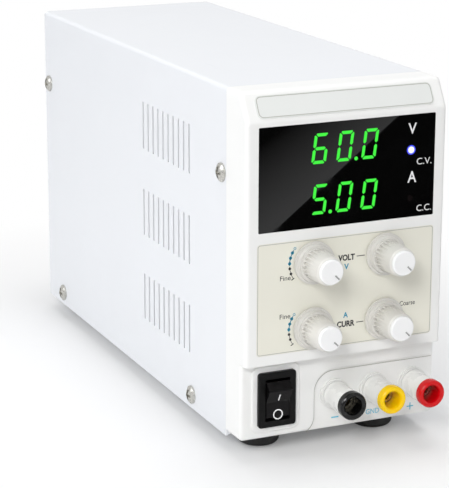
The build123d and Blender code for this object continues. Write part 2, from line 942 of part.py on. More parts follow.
# Rocker switch
def make_switch_housing():
    body_back = pad_face + switch_body_depth
    flange = front_plate(switch_width, switch_tall, switch_corner, switch_x, switch_z,
                         switch_front, pad_face)
    flange = fillet(flange.faces().sort_by(Axis.Y)[0].edges(), switch_edge)
    housing = flange + front_plate(switch_body_width, switch_body_tall, switch_body_corner,
                                   switch_x, switch_z, pad_face, body_back)
    cavity_back = switch_front + rocker_cavity
    housing -= block(switch_x - opening_width / 2, switch_x + opening_width / 2,
                     switch_front - 1, cavity_back,
                     switch_z - opening_tall / 2, switch_z + opening_tall / 2)
    housing -= rod_x(rocker_pin_radius + running_clearance,
                     switch_x - pin_half - rocker_clearance, switch_x + pin_half + rocker_clearance,
                     switch_front + rocker_pivot_depth, switch_z)
    return housing



def make_rocker():
    p = rocker_pivot_depth
    half = opening_width / 2 - rocker_clearance
    points = [(-rocker_half, p - rocker_end), (-rocker_ridge, p + rocker_stand), (0, p + rocker_dip),
              (rocker_ridge, p + rocker_stand), (rocker_half, p - rocker_end),
              (rocker_heel_half, -rocker_heel), (-rocker_heel_half, -rocker_heel)]
    face = make_face(Polyline([(-h, s) for s, h in points], close=True))
    for s in (-rocker_ridge, rocker_ridge):
        spot = face.vertices().sort_by_distance((-(p + rocker_stand), s, 0))[0]
        face = fillet(spot, rocker_edge)
    body = extrude(Plane.YZ * face, half, both=True)
    body += rod_x(rocker_pin_radius, -pin_half, pin_half, 0, 0)
    turn = Rot(rocker_tilt, 0, 0)
    return Pos(switch_x, switch_front + rocker_pivot_depth, switch_z) * turn * body


def make_switch_tabs():
    back = pad_face + switch_body_depth
    group = []
    for x in (switch_x - tab_pitch_x / 2, switch_x + tab_pitch_x / 2):
        for z in (switch_z - tab_pitch_z / 2, switch_z + tab_pitch_z / 2):
            group.append(block(x - tab_thickness / 2, x + tab_thickness / 2, back, back + tab_length,
                               z - tab_width / 2, z + tab_width / 2))
    return Compound(children=group)


# Fan, guard and screws
def make_fan_frame():
    y0 = wall_inner - fan_depth
    frame = front_plate(fan_size, fan_size, fan_corner, 0, fan_z, y0, wall_inner)
    frame -= rod_y(fan_bore, y0 - 1, wall_inner + 1, 0, fan_z)
    for x, z in fan_hole_spots():
        frame -= rod_y(fan_screw_radius + running_clearance, y0 - 1, wall_inner + 1, x, z)
    motor = rod_y(fan_hub, y0, y0 + motor_plate, 0, fan_z)
    for turn in (45, 135, 225, 315):
        strut = block(-strut_width / 2, strut_width / 2, y0, y0 + motor_plate, fan_hub - 2, fan_bore + 1)
        motor += Pos(0, 0, fan_z) * Rot(0, turn, 0) * strut
    motor += rod_y(bush_radius, y0, y0 + bush_length, 0, fan_z)
    motor -= rod_y(spindle_radius + running_clearance, y0 + 1, y0 + bush_length + 1, 0, fan_z)
    return frame + motor



def make_fan_rotor():
    y0 = wall_inner - fan_depth
    back = wall_inner - 1.5
    hub_front = y0 + motor_plate + rotor_gap
    rotor = rod_y(fan_hub, hub_front, back, 0, 0)
    rotor -= rod_y(bush_radius + bush_gap, hub_front - 1, y0 + bush_length + bush_gap, 0, 0)
    rotor += rod_y(spindle_radius, y0 + 1.4, back - 0.5, 0, 0)
    tip = fan_bore - fan_tip_clearance
    depth = back - hub_front
    middle = (back + hub_front) / 2
    blades = Part()
    for i in range(fan_blades):
        blade = Pos(0, middle, (fan_hub + tip) / 2 - 1) * Rot(0, 0, blade_pitch)
        blade = blade * Box(blade_thickness, depth * 1.5, tip - fan_hub + 6)
        blades += Rot(0, 360 / fan_blades * i, 0) * blade
    ring = rod_y(tip, hub_front, back - 0.4, 0, 0) - rod_y(fan_hub - 1, hub_front - 1, back + 1, 0, 0)
    return Pos(0, 0, fan_z) * (rotor + (blades & ring))


def make_guard():
    y = wall_outer + guard_wire
    guard = Part()
    for radius in guard_rings:
        guard += Pos(0, y, fan_z) * Rot(90, 0, 0) * Torus(radius, guard_wire)
    corner = fan_hole_pitch / math.sqrt(2)
    for turn in (45, 135, 225, 315):
        spoke = Pos(0, y, (guard_rings[0] + corner) / 2) * Cylinder(guard_wire, corner - guard_rings[0])
        guard += Pos(0, 0, fan_z) * Rot(0, turn, 0) * spoke
    for x, z in fan_hole_spots():
        guard += rod_y(eye_radius, wall_outer, wall_outer + 2 * guard_wire, x, z)
    for x, z in fan_hole_spots():
        guard -= rod_y(fan_screw_radius + screw_clearance, wall_outer - 1, wall_outer + 3, x, z)
    return guard



def make_fan_screws():
    group = []
    length = chassis_sheet + 2 * guard_wire + fan_depth * 0.7
    for x, z in fan_hole_spots():
        head = slotted_head(3.4, 1.7, 4.2)
        screw = head + rod_z(fan_screw_radius, -length, 0, 0, 0)
        group.append(Pos(x, wall_outer + 2 * guard_wire, z) * Rot(-90, 0, 0) * screw)
    return Compound(children=group)


# Mains inlet
def inlet_socket():
    z = inlet_z + socket_up
    half = socket_width / 2
    face = make_face(Polyline(
        (-half, z + socket_tall / 2 - socket_chamfer), (-half, z - socket_tall / 2),
        (half, z - socket_tall / 2), (half, z + socket_tall / 2 - socket_chamfer),
        (half - socket_chamfer, z + socket_tall / 2), (-half + socket_chamfer, z + socket_tall / 2),
        close=True))
    front = wall_outer + inlet_flange
    return Pos(inlet_x, 0, 0) * extrude(Plane.XZ.offset(-front - 1) * face, socket_depth + 1)


def make_inlet():
    front = wall_outer + inlet_flange
    back = wall_outer - inlet_body_depth
    body = front_plate(inlet_width, inlet_tall, 2.0, inlet_x, inlet_z, wall_outer, front)
    body = fillet(body.faces().sort_by(Axis.Y)[-1].edges(), 0.6)
    body += block(inlet_x - inlet_body_width / 2, inlet_x + inlet_body_width / 2, back, wall_outer,
                  inlet_z - inlet_body_tall / 2, inlet_z + inlet_body_tall / 2)
    body -= inlet_socket()
    slot_half_w = drawer_width / 2 + drawer_clearance
    slot_half_t = drawer_tall / 2 + drawer_clearance
    z = inlet_z - drawer_down
    body -= block(inlet_x - slot_half_w, inlet_x + slot_half_w,
                  front - drawer_depth - drawer_clearance, front + 1,
                  z - slot_half_t, z + slot_half_t)
    for x, z, tall in pin_spots():
        body -= block(x - pin_width / 2, x + pin_width / 2, back - 1, front - socket_depth + 1,
                      z - tall / 2, z + tall / 2)
    return body


def pin_spots():
    z = inlet_z + socket_up
    half = pin_pitch / 2
    return [(inlet_x - half, z - line_pin_drop, pin_tall), (inlet_x + half, z - line_pin_drop, pin_tall),
            (inlet_x, z + earth_pin_rise, pin_tall)]


def make_pins():
    floor = wall_outer + inlet_flange - socket_depth
    back = wall_outer - inlet_body_depth - tab_length
    group = [block(x - pin_width / 2, x + pin_width / 2, back, floor + pin_reach,
                   z - tall / 2, z + tall / 2) for x, z, tall in pin_spots()]
    return Compound(children=group)


def make_drawer():
    front = wall_outer + inlet_flange
    z = inlet_z - drawer_down
    half_w = drawer_width / 2
    half_t = drawer_tall / 2
    drawer = block(inlet_x - half_w, inlet_x + half_w, front - drawer_depth, front,
                   z - half_t, z + half_t)
    lip = front_plate(drawer_width + 1.6, drawer_tall + 1.6, 0.8, inlet_x, z, front, front + drawer_lip)
    drawer += fillet(lip.faces().sort_by(Axis.Y)[-1].edges(), 0.3)
    drawer -= block(inlet_x - fuse_length / 2, inlet_x + fuse_length / 2,
                    front - drawer_depth + 2, front - drawer_depth + 2 + 2 * fuse_radius,
                    z - half_t + 1.2, z + half_t + 1)
    drawer -= block(inlet_x - half_w + 1, inlet_x + half_w - 1,
                    front - drawer_depth + 10, front - 1.6, z - half_t + 1.2, z + half_t + 1)
    return drawer


def make_fuse():
    front = wall_outer + inlet_flange
    z = inlet_z - drawer_down - drawer_tall / 2 + 1.2 + fuse_radius
    y = front - drawer_depth + 2 + fuse_radius
    half = fuse_length / 2
    tube = rod_x(fuse_radius - 0.3, inlet_x - half, inlet_x + half, y, z)
    for side in (-1, 1):
        tube += rod_x(fuse_radius, inlet_x + side * half, inlet_x + side * (half - 5), y, z)
    return tube


# Voltage selector
def make_selector():
    front = wall_outer + selector_flange
    body = front_plate(selector_width, selector_tall, 1.2, selector_x, selector_z, wall_outer, front)
    body = fillet(body.faces().sort_by(Axis.Y)[-1].edges(), 0.3)
    body += block(selector_x - selector_body_width / 2, selector_x + selector_body_width / 2,
                  wall_outer - selector_body_depth, wall_outer,
                  selector_z - selector_body_tall / 2, selector_z + selector_body_tall / 2)
    body -= block(selector_x - selector_slot_width / 2, selector_x + selector_slot_width / 2,
                  front - selector_slot_depth, front + 1,
                  selector_z - selector_slot_tall / 2, selector_z + selector_slot_tall / 2)
    return body


def make_slider():
    front = wall_outer + selector_flange
    x0 = selector_x - selector_slot_width / 2 + drawer_clearance
    z_half = selector_slot_tall / 2 - drawer_clearance
    slider = block(x0, x0 + slider_width, front - selector_slot_depth + part_gap, front - 0.4,
                   selector_z - z_half, selector_z + z_half)
    for i in range(3):
        x = x0 + slider_width * (i + 1) / 4
        slider -= block(x - 0.4, x + 0.4, front - 1.2, front, selector_z - 2.2, selector_z + 2.2)
    return slider


# Main board and what stands on it
def make_board():
    board = block(-board_half, board_half, board_front, board_rear, board_bottom, board_top)
    for x, y in spacer_spots():
        board -= rod_z(small_screw_shank + screw_clearance, board_bottom - 1, board_top + 1, x, y)
    return board


def make_spacers():
    group = []
    for x, y in spacer_spots():
        post = Pos(x, y, floor_top) * extrude(RegularPolygon(spacer_width / 2, 6, major_radius=False),
                                             spacer_height)
        post -= rod_z(small_screw_shank + running_clearance,
                      board_bottom - small_screw_length + 1, board_bottom + 1, x, y)
        group.append(post)
    return Compound(children=group)


def make_core():
    z0 = board_top + winding_under
    core = block(-core_width / 2, core_width / 2, core_y - core_length / 2, core_y + core_length / 2,
                 z0, z0 + core_thickness)
    for side in (-1, 1):
        y0 = core_y + side * leg_length / 2
        core -= block(-window_of_core_width / 2, window_of_core_width / 2,
                      y0, y0 + side * window_of_core_length, z0 - 1, z0 + core_thickness + 1)
    return core


def make_winding():
    z0 = board_top
    half_y = leg_length / 2 + window_of_core_length
    coil = block(-window_of_core_width / 2, window_of_core_width / 2, core_y - half_y, core_y + half_y,
                 z0, z0 + winding_height)
    coil = fillet(coil.edges().filter_by(Axis.Z), 2.0)
    core_z = board_top + winding_under
    return coil - block(-core_width, core_width, core_y - leg_length / 2, core_y + leg_length / 2,
                        core_z, core_z + core_thickness)


def make_capacitors():
    group = []
    for x in (-bulk_radius - 0.3, bulk_radius + 0.3):
        can = rod_z(bulk_radius, board_top, board_top + bulk_height, x, bulk_y)
        group.append(fillet(can.edges().group_by(Axis.Z)[-1], 0.8))
    for x in (-11.5, 0, 11.5):
        can = rod_z(output_radius, board_top, board_top + output_height, x, output_y)
        group.append(fillet(can.edges().group_by(Axis.Z)[-1], 0.6))
    return Compound(children=group)


def make_choke():
    ring = rod_z(choke_radius, board_top, board_top + choke_height, 0, choke_y)
    ring -= rod_z(choke_hole, board_top - 1, board_top + choke_height + 1, 0, choke_y)
    return fillet(ring.edges().group_by(Axis.Z)[-1], 1.5)


def make_sinks():
    group = []
    for side in (-1, 1):
        sink = block(side * sink_face, side * (sink_face + sink_base), sink_y0, sink_y0 + sink_length,
                     board_top, board_top + sink_height)
        for i in range(sink_fin_count):
            z = board_top + 3 + i * (sink_height - 3 - sink_fin_thickness) / (sink_fin_count - 1)
            sink += block(side * (sink_face + sink_base - 0.2), side * (sink_face + sink_base + sink_fin),
                          sink_y0, sink_y0 + sink_length, z, z + sink_fin_thickness)
        group.append(sink)
    return Compound(children=group)


def make_transistors():
    group = []
    for side in (-1, 1):
        x0 = side * (sink_face - transistor_thickness)
        x1 = side * sink_face
        for share in (0.25, 0.75):
            y = sink_y0 + sink_length * share
            z0 = board_top + 7.0
            body = block(x0, x1, y - transistor_width / 2, y + transistor_width / 2,
                         z0, z0 + transistor_height)
            for k in (-2.54, 0, 2.54):
                x = (x0 + x1) / 2
                body += block(x - 0.4, x + 0.4, y + k - 0.5, y + k + 0.5, board_top, z0 + 0.2)
            group.append(body)
    return Compound(children=group)


# Leads inside the case
def lead(points):
    """A round lead with one tangent arc at each inner point, as large as its runs allow."""
    spots = [Vector(*p) for p in points]
    radii = []
    for a, b, c in zip(spots, spots[1:], spots[2:]):
        turn = (b - a).get_angle(c - b)
        shorter = min((b - a).length, (c - b).length)
        radii.append(0.45 * shorter / math.tan(math.radians(turn) / 2))
    path = FilletPolyline(*spots, radius=radii)
    start = Plane(origin=spots[0], z_dir=(spots[1] - spots[0]).normalized())
    tube = sweep(start * Circle(lead_radius), path=path)
    print("lead radii", [round(r, 1) for r in radii], "length", round(path.length, 1),
          "volume share", round(tube.volume / (math.pi * lead_radius ** 2 * path.length), 4))
    return tube


def make_leads():
    tab_back = pad_face + switch_body_depth + tab_length
    pin_back = wall_outer - inlet_body_depth - tab_length
    posts = post_spots()
    (live_x, pin_z, _), (neutral_x, _, _), (earth_x, earth_z, _) = pin_spots()
    side_x = -board_half - 2.2
    left_tab_x = switch_x - tab_pitch_x / 2
    right_tab_x = switch_x + tab_pitch_x / 2
    tab_z = switch_z + tab_pitch_z / 2
    live = lead([
        (live_x, pin_back, pin_z), (live_x, pin_back - 12, pin_z),
        (side_x + 3, pin_back - 22, pin_z + 2), (side_x, pin_back - 34, pin_z - 4),
        (side_x, pin_back - 75, pin_z - 3), (side_x + 0.5, tab_back + 45, pin_z - 6),
        (side_x + 2, tab_back + 22, switch_z + 7), (left_tab_x, tab_back + 10, tab_z),
        (left_tab_x, tab_back, tab_z)])
    switched = lead([
        (right_tab_x, tab_back, tab_z), (right_tab_x, tab_back + 10, tab_z),
        (switch_x + 7, board_front + 6, board_top + 13), (switch_x + 7, board_front + 6, board_top)])
    neutral = lead([
        (neutral_x, pin_back, pin_z), (neutral_x, pin_back - 12, pin_z),
        (neutral_x - 3, pin_back - 15, board_top + 12), (neutral_x - 3, pin_back - 15, board_top)])
    earth = lead([
        (earth_x, pin_back, earth_z), (earth_x, pin_back - 12, earth_z),
        (earth_x + 16, pin_back - 16, earth_z - 6), (half_width - 8, pin_back - 4, earth_z - 16),
        (half_width - 8, pin_back - 2, floor_top + 9), (half_width - 8, pin_back - 2, floor_top)])
    outputs = []
    for name, start_x in (("black", -8.0), ("red", 22.0)):
        x, z = posts[name]
        outputs.append(lead([
            (x, tag_back, z + tag_length - 2), (x, tag_back + 8, z + tag_length - 2),
            ((x + start_x) / 2, cover_front + 14, z + 13), (start_x, board_front + 3, z + 8),
            (start_x, board_front + 6, board_top + 9), (start_x, board_front + 6, board_top)]))
    return Compound(children=[live, switched, neutral, earth] + outputs)


def make_all():
    nodes = {
        "top_cover": make_cover(),
        "chassis": make_chassis(),
        "front_frame": make_frame(),
        "name_strip": make_strip(),
        "display_window": make_window(),
        "control_overlay": make_overlay(),
        "cover_screws": make_cover_screws(),
        "small_screws": make_small_screws(),
        "rubber_feet": make_feet(),
        "front_board": make_front_board(),
        "led_displays": make_displays(),
        "indicator_lamps": make_lamps(),
        "potentiometers": make_pots(),
        "post_collars": make_collars(),
        "post_studs": make_studs(),
        "post_nuts": make_post_nuts(),
        "post_tags": make_post_tags(),
        "switch_housing": make_switch_housing(),
        "switch_rocker": make_rocker(),
        "switch_tabs": make_switch_tabs(),
        "fan_frame": make_fan_frame(),
        "fan_rotor": make_fan_rotor(),
        "fan_guard": make_guard(),
        "fan_screws": make_fan_screws(),
        "inlet_housing": make_inlet(),
        "inlet_pins": make_pins(),
        "fuse_drawer": make_drawer(),
        "glass_fuse": make_fuse(),
        "selector_body": make_selector(),
        "selector_slider": make_slider(),
        "main_board": make_board(),
        "board_spacers": make_spacers(),
        "transformer_core": make_core(),
        "transformer_winding": make_winding(),
        "capacitors": make_capacitors(),
        "line_choke": make_choke(),
        "heat_sinks": make_sinks(),
        "power_transistors": make_transistors(),
        "internal_leads": make_leads(),
    }
    for name, (x, z) in knob_spots().items():
        nodes[name + "_knob"] = make_knob(x, z)
        nodes[name + "_cap"] = make_cap(x, z)
        nodes[name + "_shaft"] = make_shaft(x, z)
    for name, (x, z) in post_spots().items():
        nodes[name + "_post_barrel"] = make_barrel(x, z)
        nodes[name + "_post_cap"] = make_post_cap(x, z)
        nodes[name + "_post_insert"] = make_insert(x, z)
    return nodes


for node, shape in make_all().items():
    export_step(shape, f"parts/{node}.step")
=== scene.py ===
# %% [markdown]
# # A bench power supply, dressed for a picture
#
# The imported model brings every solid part, in metres, already in its place. This lesson
# gives each part its finish and adds what is too fine for the solids: print, lit digits,
# inlays and small board parts. Nothing here moves or resizes a solid part.

# %% Load the solid model
import math

import bpy
from mathutils import Matrix, Vector


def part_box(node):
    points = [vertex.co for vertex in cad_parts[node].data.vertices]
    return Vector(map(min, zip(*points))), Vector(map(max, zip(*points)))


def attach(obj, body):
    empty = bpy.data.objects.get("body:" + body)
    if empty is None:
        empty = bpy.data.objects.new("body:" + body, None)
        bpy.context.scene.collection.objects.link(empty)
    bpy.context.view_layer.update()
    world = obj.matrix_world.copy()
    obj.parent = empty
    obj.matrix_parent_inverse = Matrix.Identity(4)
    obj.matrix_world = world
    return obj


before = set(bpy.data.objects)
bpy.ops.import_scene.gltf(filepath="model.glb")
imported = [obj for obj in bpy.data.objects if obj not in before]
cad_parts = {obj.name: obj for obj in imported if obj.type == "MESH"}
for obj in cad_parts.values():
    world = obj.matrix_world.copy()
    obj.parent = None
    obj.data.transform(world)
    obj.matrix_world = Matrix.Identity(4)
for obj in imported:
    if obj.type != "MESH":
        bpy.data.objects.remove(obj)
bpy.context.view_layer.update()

MM = 0.001
brought = len(bpy.data.materials)

# %% [markdown]
# ## Shader arithmetic
#
# A finish is a small graph of nodes. Written as node calls, a formula such as
# 0.4 + 0.1 * grain takes four lines; written as an expression it takes one. The class below
# wraps one output socket and adds a Math node for each operator, so a finish reads like its
# formula. Colours don't go through Math nodes, because these keep only one number.

# %% A socket that does arithmetic
class Wire:
    def __init__(self, graph, socket):
        self.graph = graph
        self.socket = socket

    def __add__(self, other):
        return self.graph.math_of("ADD", self, other)

    def __sub__(self, other):
        return self.graph.math_of("SUBTRACT", self, other)

    def __mul__(self, other):
        return self.graph.math_of("MULTIPLY", self, other)

    def __rsub__(self, other):
        return self.graph.math_of("SUBTRACT", other, self)

    def above(self, level):
        return self.graph.math_of("GREATER_THAN", self, level)

    __radd__ = __add__
    __rmul__ = __mul__


# %% [markdown]
# ## A graph of nodes
#
# One method makes every node. Its settings come first, because they decide which sockets the
# node has, and then each socket gets a value or a wire. The table, the world and every finish
# are made with this class. All positions are object coordinates, which here are the model's
# own metres, so a grain size can be given in millimetres.

# %% The graph class
class Graph:
    def __init__(self, tree):
        self.tree = tree

    def node(self, kind, settings=None, sockets=None, out=0):
        made = self.tree.nodes.new(kind)
        for key, value in (settings or {}).items():
            if key == "stops":
                for element, (position, level) in zip(made.color_ramp.elements, value):
                    element.position = position
                    element.color = (level, level, level, 1.0)
            else:
                setattr(made, key, value)
        for key, value in (sockets or {}).items():
            self.feed(made.inputs[key], value)
        return Wire(self, made.outputs[out])

    def feed(self, socket, value):
        if isinstance(value, Wire):
            self.tree.links.new(value.socket, socket)
        elif socket.type == "RGBA":
            socket.default_value = (*value, 1.0)
        else:
            socket.default_value = value

    def math_of(self, operation, first, second=0.0):
        return self.node("ShaderNodeMath", {"operation": operation}, {0: first, 1: second})

    def mix(self, share, first, second):
        sockets = {0: share, 6: first, 7: second}
        return self.node("ShaderNodeMix", {"data_type": "RGBA"}, sockets, out=2)

    def mix_shaders(self, share, first, second):
        return self.node("ShaderNodeMixShader", None, {0: share, 1: first, 2: second})

    def ramp(self, value, low, high):
        stops = [(low, 0.0), (high, 1.0)]
        return self.node("ShaderNodeValToRGB", {"stops": stops}, {"Fac": value})

    def part_of(self, vector, letter):
        return self.node("ShaderNodeSeparateXYZ", None, {0: vector}, out="XYZ".index(letter))

    def axis(self, letter):
        return self.part_of(self.node("ShaderNodeTexCoord", out="Object"), letter)


# %% [markdown]
# ## A finish
#
# A finish is a graph round the Principled shader. What is the same all over is set on the
# shader's own sockets; what changes over the surface is a wire into Base Color, Roughness,
# Metallic, Alpha, Emission Color or Normal. Edges are found with a Bevel node: where the
# rounded normal leans away from the true one, there is an edge.

# %% The finish class
class Finish(Graph):
    def __init__(self, name, colour, roughness, **fixed):
        self.material = bpy.data.materials.new(name)
        self.material.use_nodes = True
        self.material.diffuse_color = (*colour, 1.0)
        super().__init__(self.material.node_tree)
        self.shader = self.tree.nodes["Principled BSDF"]
        self.to("Base Color", colour)
        self.to("Roughness", roughness)
        for socket, value in fixed.items():
            self.to(socket.replace("_", " "), value)

    def to(self, socket, value):
        self.feed(self.shader.inputs[socket], value)

    def noise(self, size_mm, detail=2.0, stretch=(1.0, 1.0, 1.0)):
        spot = self.node("ShaderNodeTexCoord", out="Object")
        place = self.node("ShaderNodeMapping", None, {"Vector": spot, "Scale": stretch})
        sockets = {"Vector": place, "Scale": 1.0 / (size_mm * MM), "Detail": detail}
        return self.node("ShaderNodeTexNoise", None, sockets)

    def bump(self, height, strength, depth_mm):
        sockets = {"Height": height, "Strength": strength, "Distance": depth_mm * MM}
        self.to("Normal", self.node("ShaderNodeBump", None, sockets))

    def rim(self, radius_mm):
        """1 along convex and concave edges, 0 on flats."""
        rounded = self.node("ShaderNodeBevel", {"samples": 4}, {"Radius": radius_mm * MM})
        true = self.node("ShaderNodeNewGeometry", out="Normal")
        settings = {"operation": "DOT_PRODUCT"}
        along = self.node("ShaderNodeVectorMath", settings, {0: rounded, 1: true}, out="Value")
        return self.ramp(1.0 - along, 0.02, 0.30)


def shade(colour, factor):
    """The same colour, lighter or darker, worked out as plain numbers."""
    return tuple(min(1.0, max(0.0, c * factor)) for c in colour)


# %% [markdown]
# ## Families of finish
#
# Most parts belong to a few families. Moulded plastic has a spark-eroded grain under half a
# millimetre and a slow drift of shade; powder coat has orange peel; metals differ by how the
# roughness wanders; foil is smooth with a faint sheen. One function each keeps the family
# alike while every part gets its own colour and grain. After the colour come the roughness,
# the grain's size and depth in millimetres, the drift of shade and how far the edges darken:
# worn outer edges and painted shade in creases and flutes.

# %% Moulded plastic, paint, metal, rubber
def moulded(name, colour, roughness, grain_mm=0.5, depth_mm=0.02, drift=0.03, edge_wear_and_shade=0.0, **fixed):
    finish = Finish(name, colour, roughness, **fixed)
    cloud = finish.noise(18.0, 3.0)
    tone = finish.mix(cloud, shade(colour, 1.0 - drift), shade(colour, 1.0 + drift))
    # Edges darken: worn outer edges, and painted shade in creases, flutes and corners.
    if edge_wear_and_shade:
        tone = finish.mix(finish.rim(0.6) * edge_wear_and_shade, tone, shade(colour, 0.72))
    finish.to("Base Color", tone)
    grain = finish.noise(grain_mm, 2.0)
    finish.to("Roughness", roughness - 0.06 + 0.12 * finish.noise(7.0, 4.0))
    finish.bump(grain, 0.35, depth_mm)
    return finish


def powder_coat(name, colour, roughness=0.42):
    finish = Finish(name, colour, roughness, Coat_Weight=0.15, Coat_Roughness=0.25)
    cloud = finish.noise(45.0, 2.0)
    tone = finish.mix(cloud, shade(colour, 0.985), shade(colour, 1.015))
    # Blotchy painted shade darkens the coat in its lowest 5 cm, towards the table.
    clear_of_low_shade = finish.ramp(finish.axis("Z"), 0.0, 0.05)
    tone = finish.mix((1.0 - clear_of_low_shade) * finish.noise(9.0, 5.0) * 0.22, tone, shade(colour, 0.80))
    # Edges darken a little: worn outer edges, and painted shade in inner corners.
    tone = finish.mix(finish.rim(0.7) * 0.25, tone, shade(colour, 0.86))
    finish.to("Base Color", tone)
    scuff = finish.noise(2.2, 2.0, (1.0, 0.08, 1.0)).above(0.70)
    finish.to("Roughness", roughness - 0.05 + 0.10 * finish.noise(6.0, 4.0) + 0.12 * scuff)
    peel = finish.noise(0.9, 1.0) + 0.35 * finish.noise(0.35, 1.0)
    finish.bump(peel, 0.16, 0.03)
    return finish


def plated(name, colour, roughness, grain_mm=1.5, stretch=(1.0, 1.0, 1.0), **fixed):
    finish = Finish(name, colour, roughness, Metallic=1.0, **fixed)
    film = finish.noise(grain_mm, 3.0, stretch)
    finish.to("Base Color", finish.mix(film, shade(colour, 0.86), shade(colour, 1.06)))
    finish.to("Roughness", roughness - 0.08 + 0.20 * finish.noise(grain_mm * 0.6, 3.0, stretch))
    finish.bump(film, 0.10, 0.01)
    return finish


def rubber(name, colour):
    finish = Finish(name, colour, 0.75)
    upward = finish.part_of(finish.node("ShaderNodeNewGeometry", out="Normal"), "Z")
    dust = finish.ramp(upward, 0.1, 0.9) * finish.noise(1.2, 4.0)
    finish.to("Base Color", finish.mix(dust * 0.5, colour, (0.22, 0.21, 0.20)))
    finish.to("Roughness", 0.66 + 0.2 * finish.noise(1.0, 3.0))
    finish.bump(finish.noise(0.4, 2.0), 0.5, 0.05)
    return finish


# %% [markdown]
# ## Printed foil and the dark window
#
# The control field and the name strip are printed foils: even colour, satin, with the faint
# orange peel of a laminate. The window is a smoke-dark filter over the digits; it is almost a
# mirror, and only smudges of handling break its shine.

# %% Foil and window
def foil(name, colour, roughness=0.36):
    finish = Finish(name, colour, roughness, Coat_Weight=0.2, Coat_Roughness=0.3)
    cloud = finish.noise(30.0, 2.0)
    finish.to("Base Color", finish.mix(cloud, shade(colour, 0.98), shade(colour, 1.015)))
    finish.to("Roughness", roughness - 0.04 + 0.08 * finish.noise(4.0, 4.0))
    finish.bump(finish.noise(0.6, 2.0), 0.10, 0.01)
    return finish


def smoked_window(name, colour):
    finish = Finish(name, colour, 0.03)
    smudge = finish.ramp(finish.noise(11.0, 5.0), 0.52, 0.80)
    finish.to("Base Color", finish.mix(smudge * 0.15, colour, (0.012, 0.013, 0.014)))
    finish.to("Roughness", 0.015 + 0.04 * smudge)
    return finish


# %% [markdown]
# ## Finishes of the case
#
# The sheet metal is a cool powder-coated white. The front frame is a slightly warmer white
# moulding. Screws in the sides are nickel plated, everything else that holds is zinc plated.

# %% Case finishes
cover_paint = powder_coat("cover_powder_coat", (0.775, 0.79, 0.815))
chassis_paint = powder_coat("chassis_powder_coat", (0.72, 0.75, 0.78), 0.48)
frame_white = moulded("front_frame_white", (0.85, 0.85, 0.835), 0.40, 0.35, 0.012, 0.012, 0.35)
strip_grey = foil("name_strip_foil", (0.74, 0.755, 0.735))
panel_beige = foil("control_panel_foil", (0.80, 0.785, 0.69))
window_black = smoked_window("display_window_black", (0.002, 0.002, 0.002))
nickel = plated("side_screw_nickel", (0.58, 0.57, 0.53), 0.26)
zinc = plated("screw_zinc", (0.66, 0.67, 0.68), 0.32)
foot_black = rubber("foot_rubber_black", (0.018, 0.018, 0.018))
print("finishes of the case", len(bpy.data.materials) - brought)

# %% [markdown]
# ## Finishes of what the hand touches
#
# Knobs are off-white mouldings with a brighter smooth end cap. The posts have a pearl white
# barrel and a glossy coloured cap; the red one glows a little, because light enters coloured
# plastic before it leaves, which a small subsurface share imitates.

# %% Knob, post and switch finishes
# The knobs' edges darken most: painted shade in the flutes of the grip, and worn edges.
knob_white = moulded("knob_off_white", (0.70, 0.685, 0.645), 0.42, 0.5, 0.02, 0.02, 0.55)
cap_white = moulded("knob_cap_white", (0.90, 0.90, 0.90), 0.26, 0.8, 0.006, 0.01)
collar_white = moulded("post_collar_pearl", (0.83, 0.83, 0.81), 0.30, 0.6, 0.008, 0.015, 0.25)
barrel_white = moulded("post_barrel_pearl", (0.84, 0.84, 0.815), 0.28, 0.9, 0.01, 0.03, 0.2)
SOFT = {"Subsurface_Weight": 0.15, "Subsurface_Scale": 0.002, "Specular_IOR_Level": 0.3}
DIM = {"Specular_IOR_Level": 0.14}
post_black = moulded("post_cap_black", (0.004, 0.004, 0.004), 0.12, 1.2, 0.006, 0.05, 0.0,
                      Specular_IOR_Level=0.35)
post_yellow = moulded("post_cap_yellow", (0.95, 0.62, 0.001), 0.18, 1.2, 0.006, 0.03, 0.2, **SOFT)
post_red = moulded("post_cap_red", (0.62, 0.002, 0.005), 0.16, 1.2, 0.006, 0.03, 0.2, **SOFT)
switch_black = moulded("switch_frame_black", (0.004, 0.004, 0.004), 0.34, 0.4, 0.02, 0.10, 0.0,
                       **DIM)
rocker_black = moulded("rocker_black", (0.004, 0.0035, 0.004), 0.24, 0.8, 0.008, 0.08, 0.0,
                       **DIM)
print("with knobs, posts and switch", len(bpy.data.materials) - brought)

# %% [markdown]
# ## Finishes of metal parts and of the inside
#
# Contacts are brass, often tinned or nickel washed. Inside are green boards, a ferrite core
# in yellow tape, dark capacitor sleeves and extruded aluminium. They are seen through the
# slots and the fan, and by whoever takes the cover off.

# %% Metal and inner finishes
stud_brass = plated("stud_nickel_brass", (0.72, 0.66, 0.52), 0.24)
nut_brass = plated("nut_brass", (0.74, 0.60, 0.34), 0.26)
tag_tin = plated("tag_tinned", (0.72, 0.70, 0.66), 0.35)
turned_metal = plated("shaft_turned", (0.74, 0.74, 0.74), 0.28, 0.8, (1.0, 6.0, 1.0))
pot_steel = plated("pot_stamped_steel", (0.60, 0.60, 0.60), 0.38)
guard_bright = plated("fan_guard_bright", (0.78, 0.79, 0.80), 0.18)
sink_metal = plated("heat_sink_extruded", (0.62, 0.63, 0.65), 0.42, 0.9, (1.0, 0.05, 1.0))
fan_black = moulded("fan_frame_black", (0.016, 0.016, 0.017), 0.46, 0.4, 0.02, 0.10)
blade_black = moulded("fan_blade_black", (0.022, 0.022, 0.024), 0.36, 0.6, 0.01, 0.10)
inlet_black = moulded("inlet_black", (0.014, 0.014, 0.014), 0.44, 0.4, 0.02, 0.10)
drawer_black = moulded("fuse_drawer_black", (0.017, 0.017, 0.018), 0.38, 0.4, 0.02, 0.10)
slider_red = moulded("selector_red", (0.55, 0.015, 0.012), 0.36, 0.5, 0.015, 0.05)
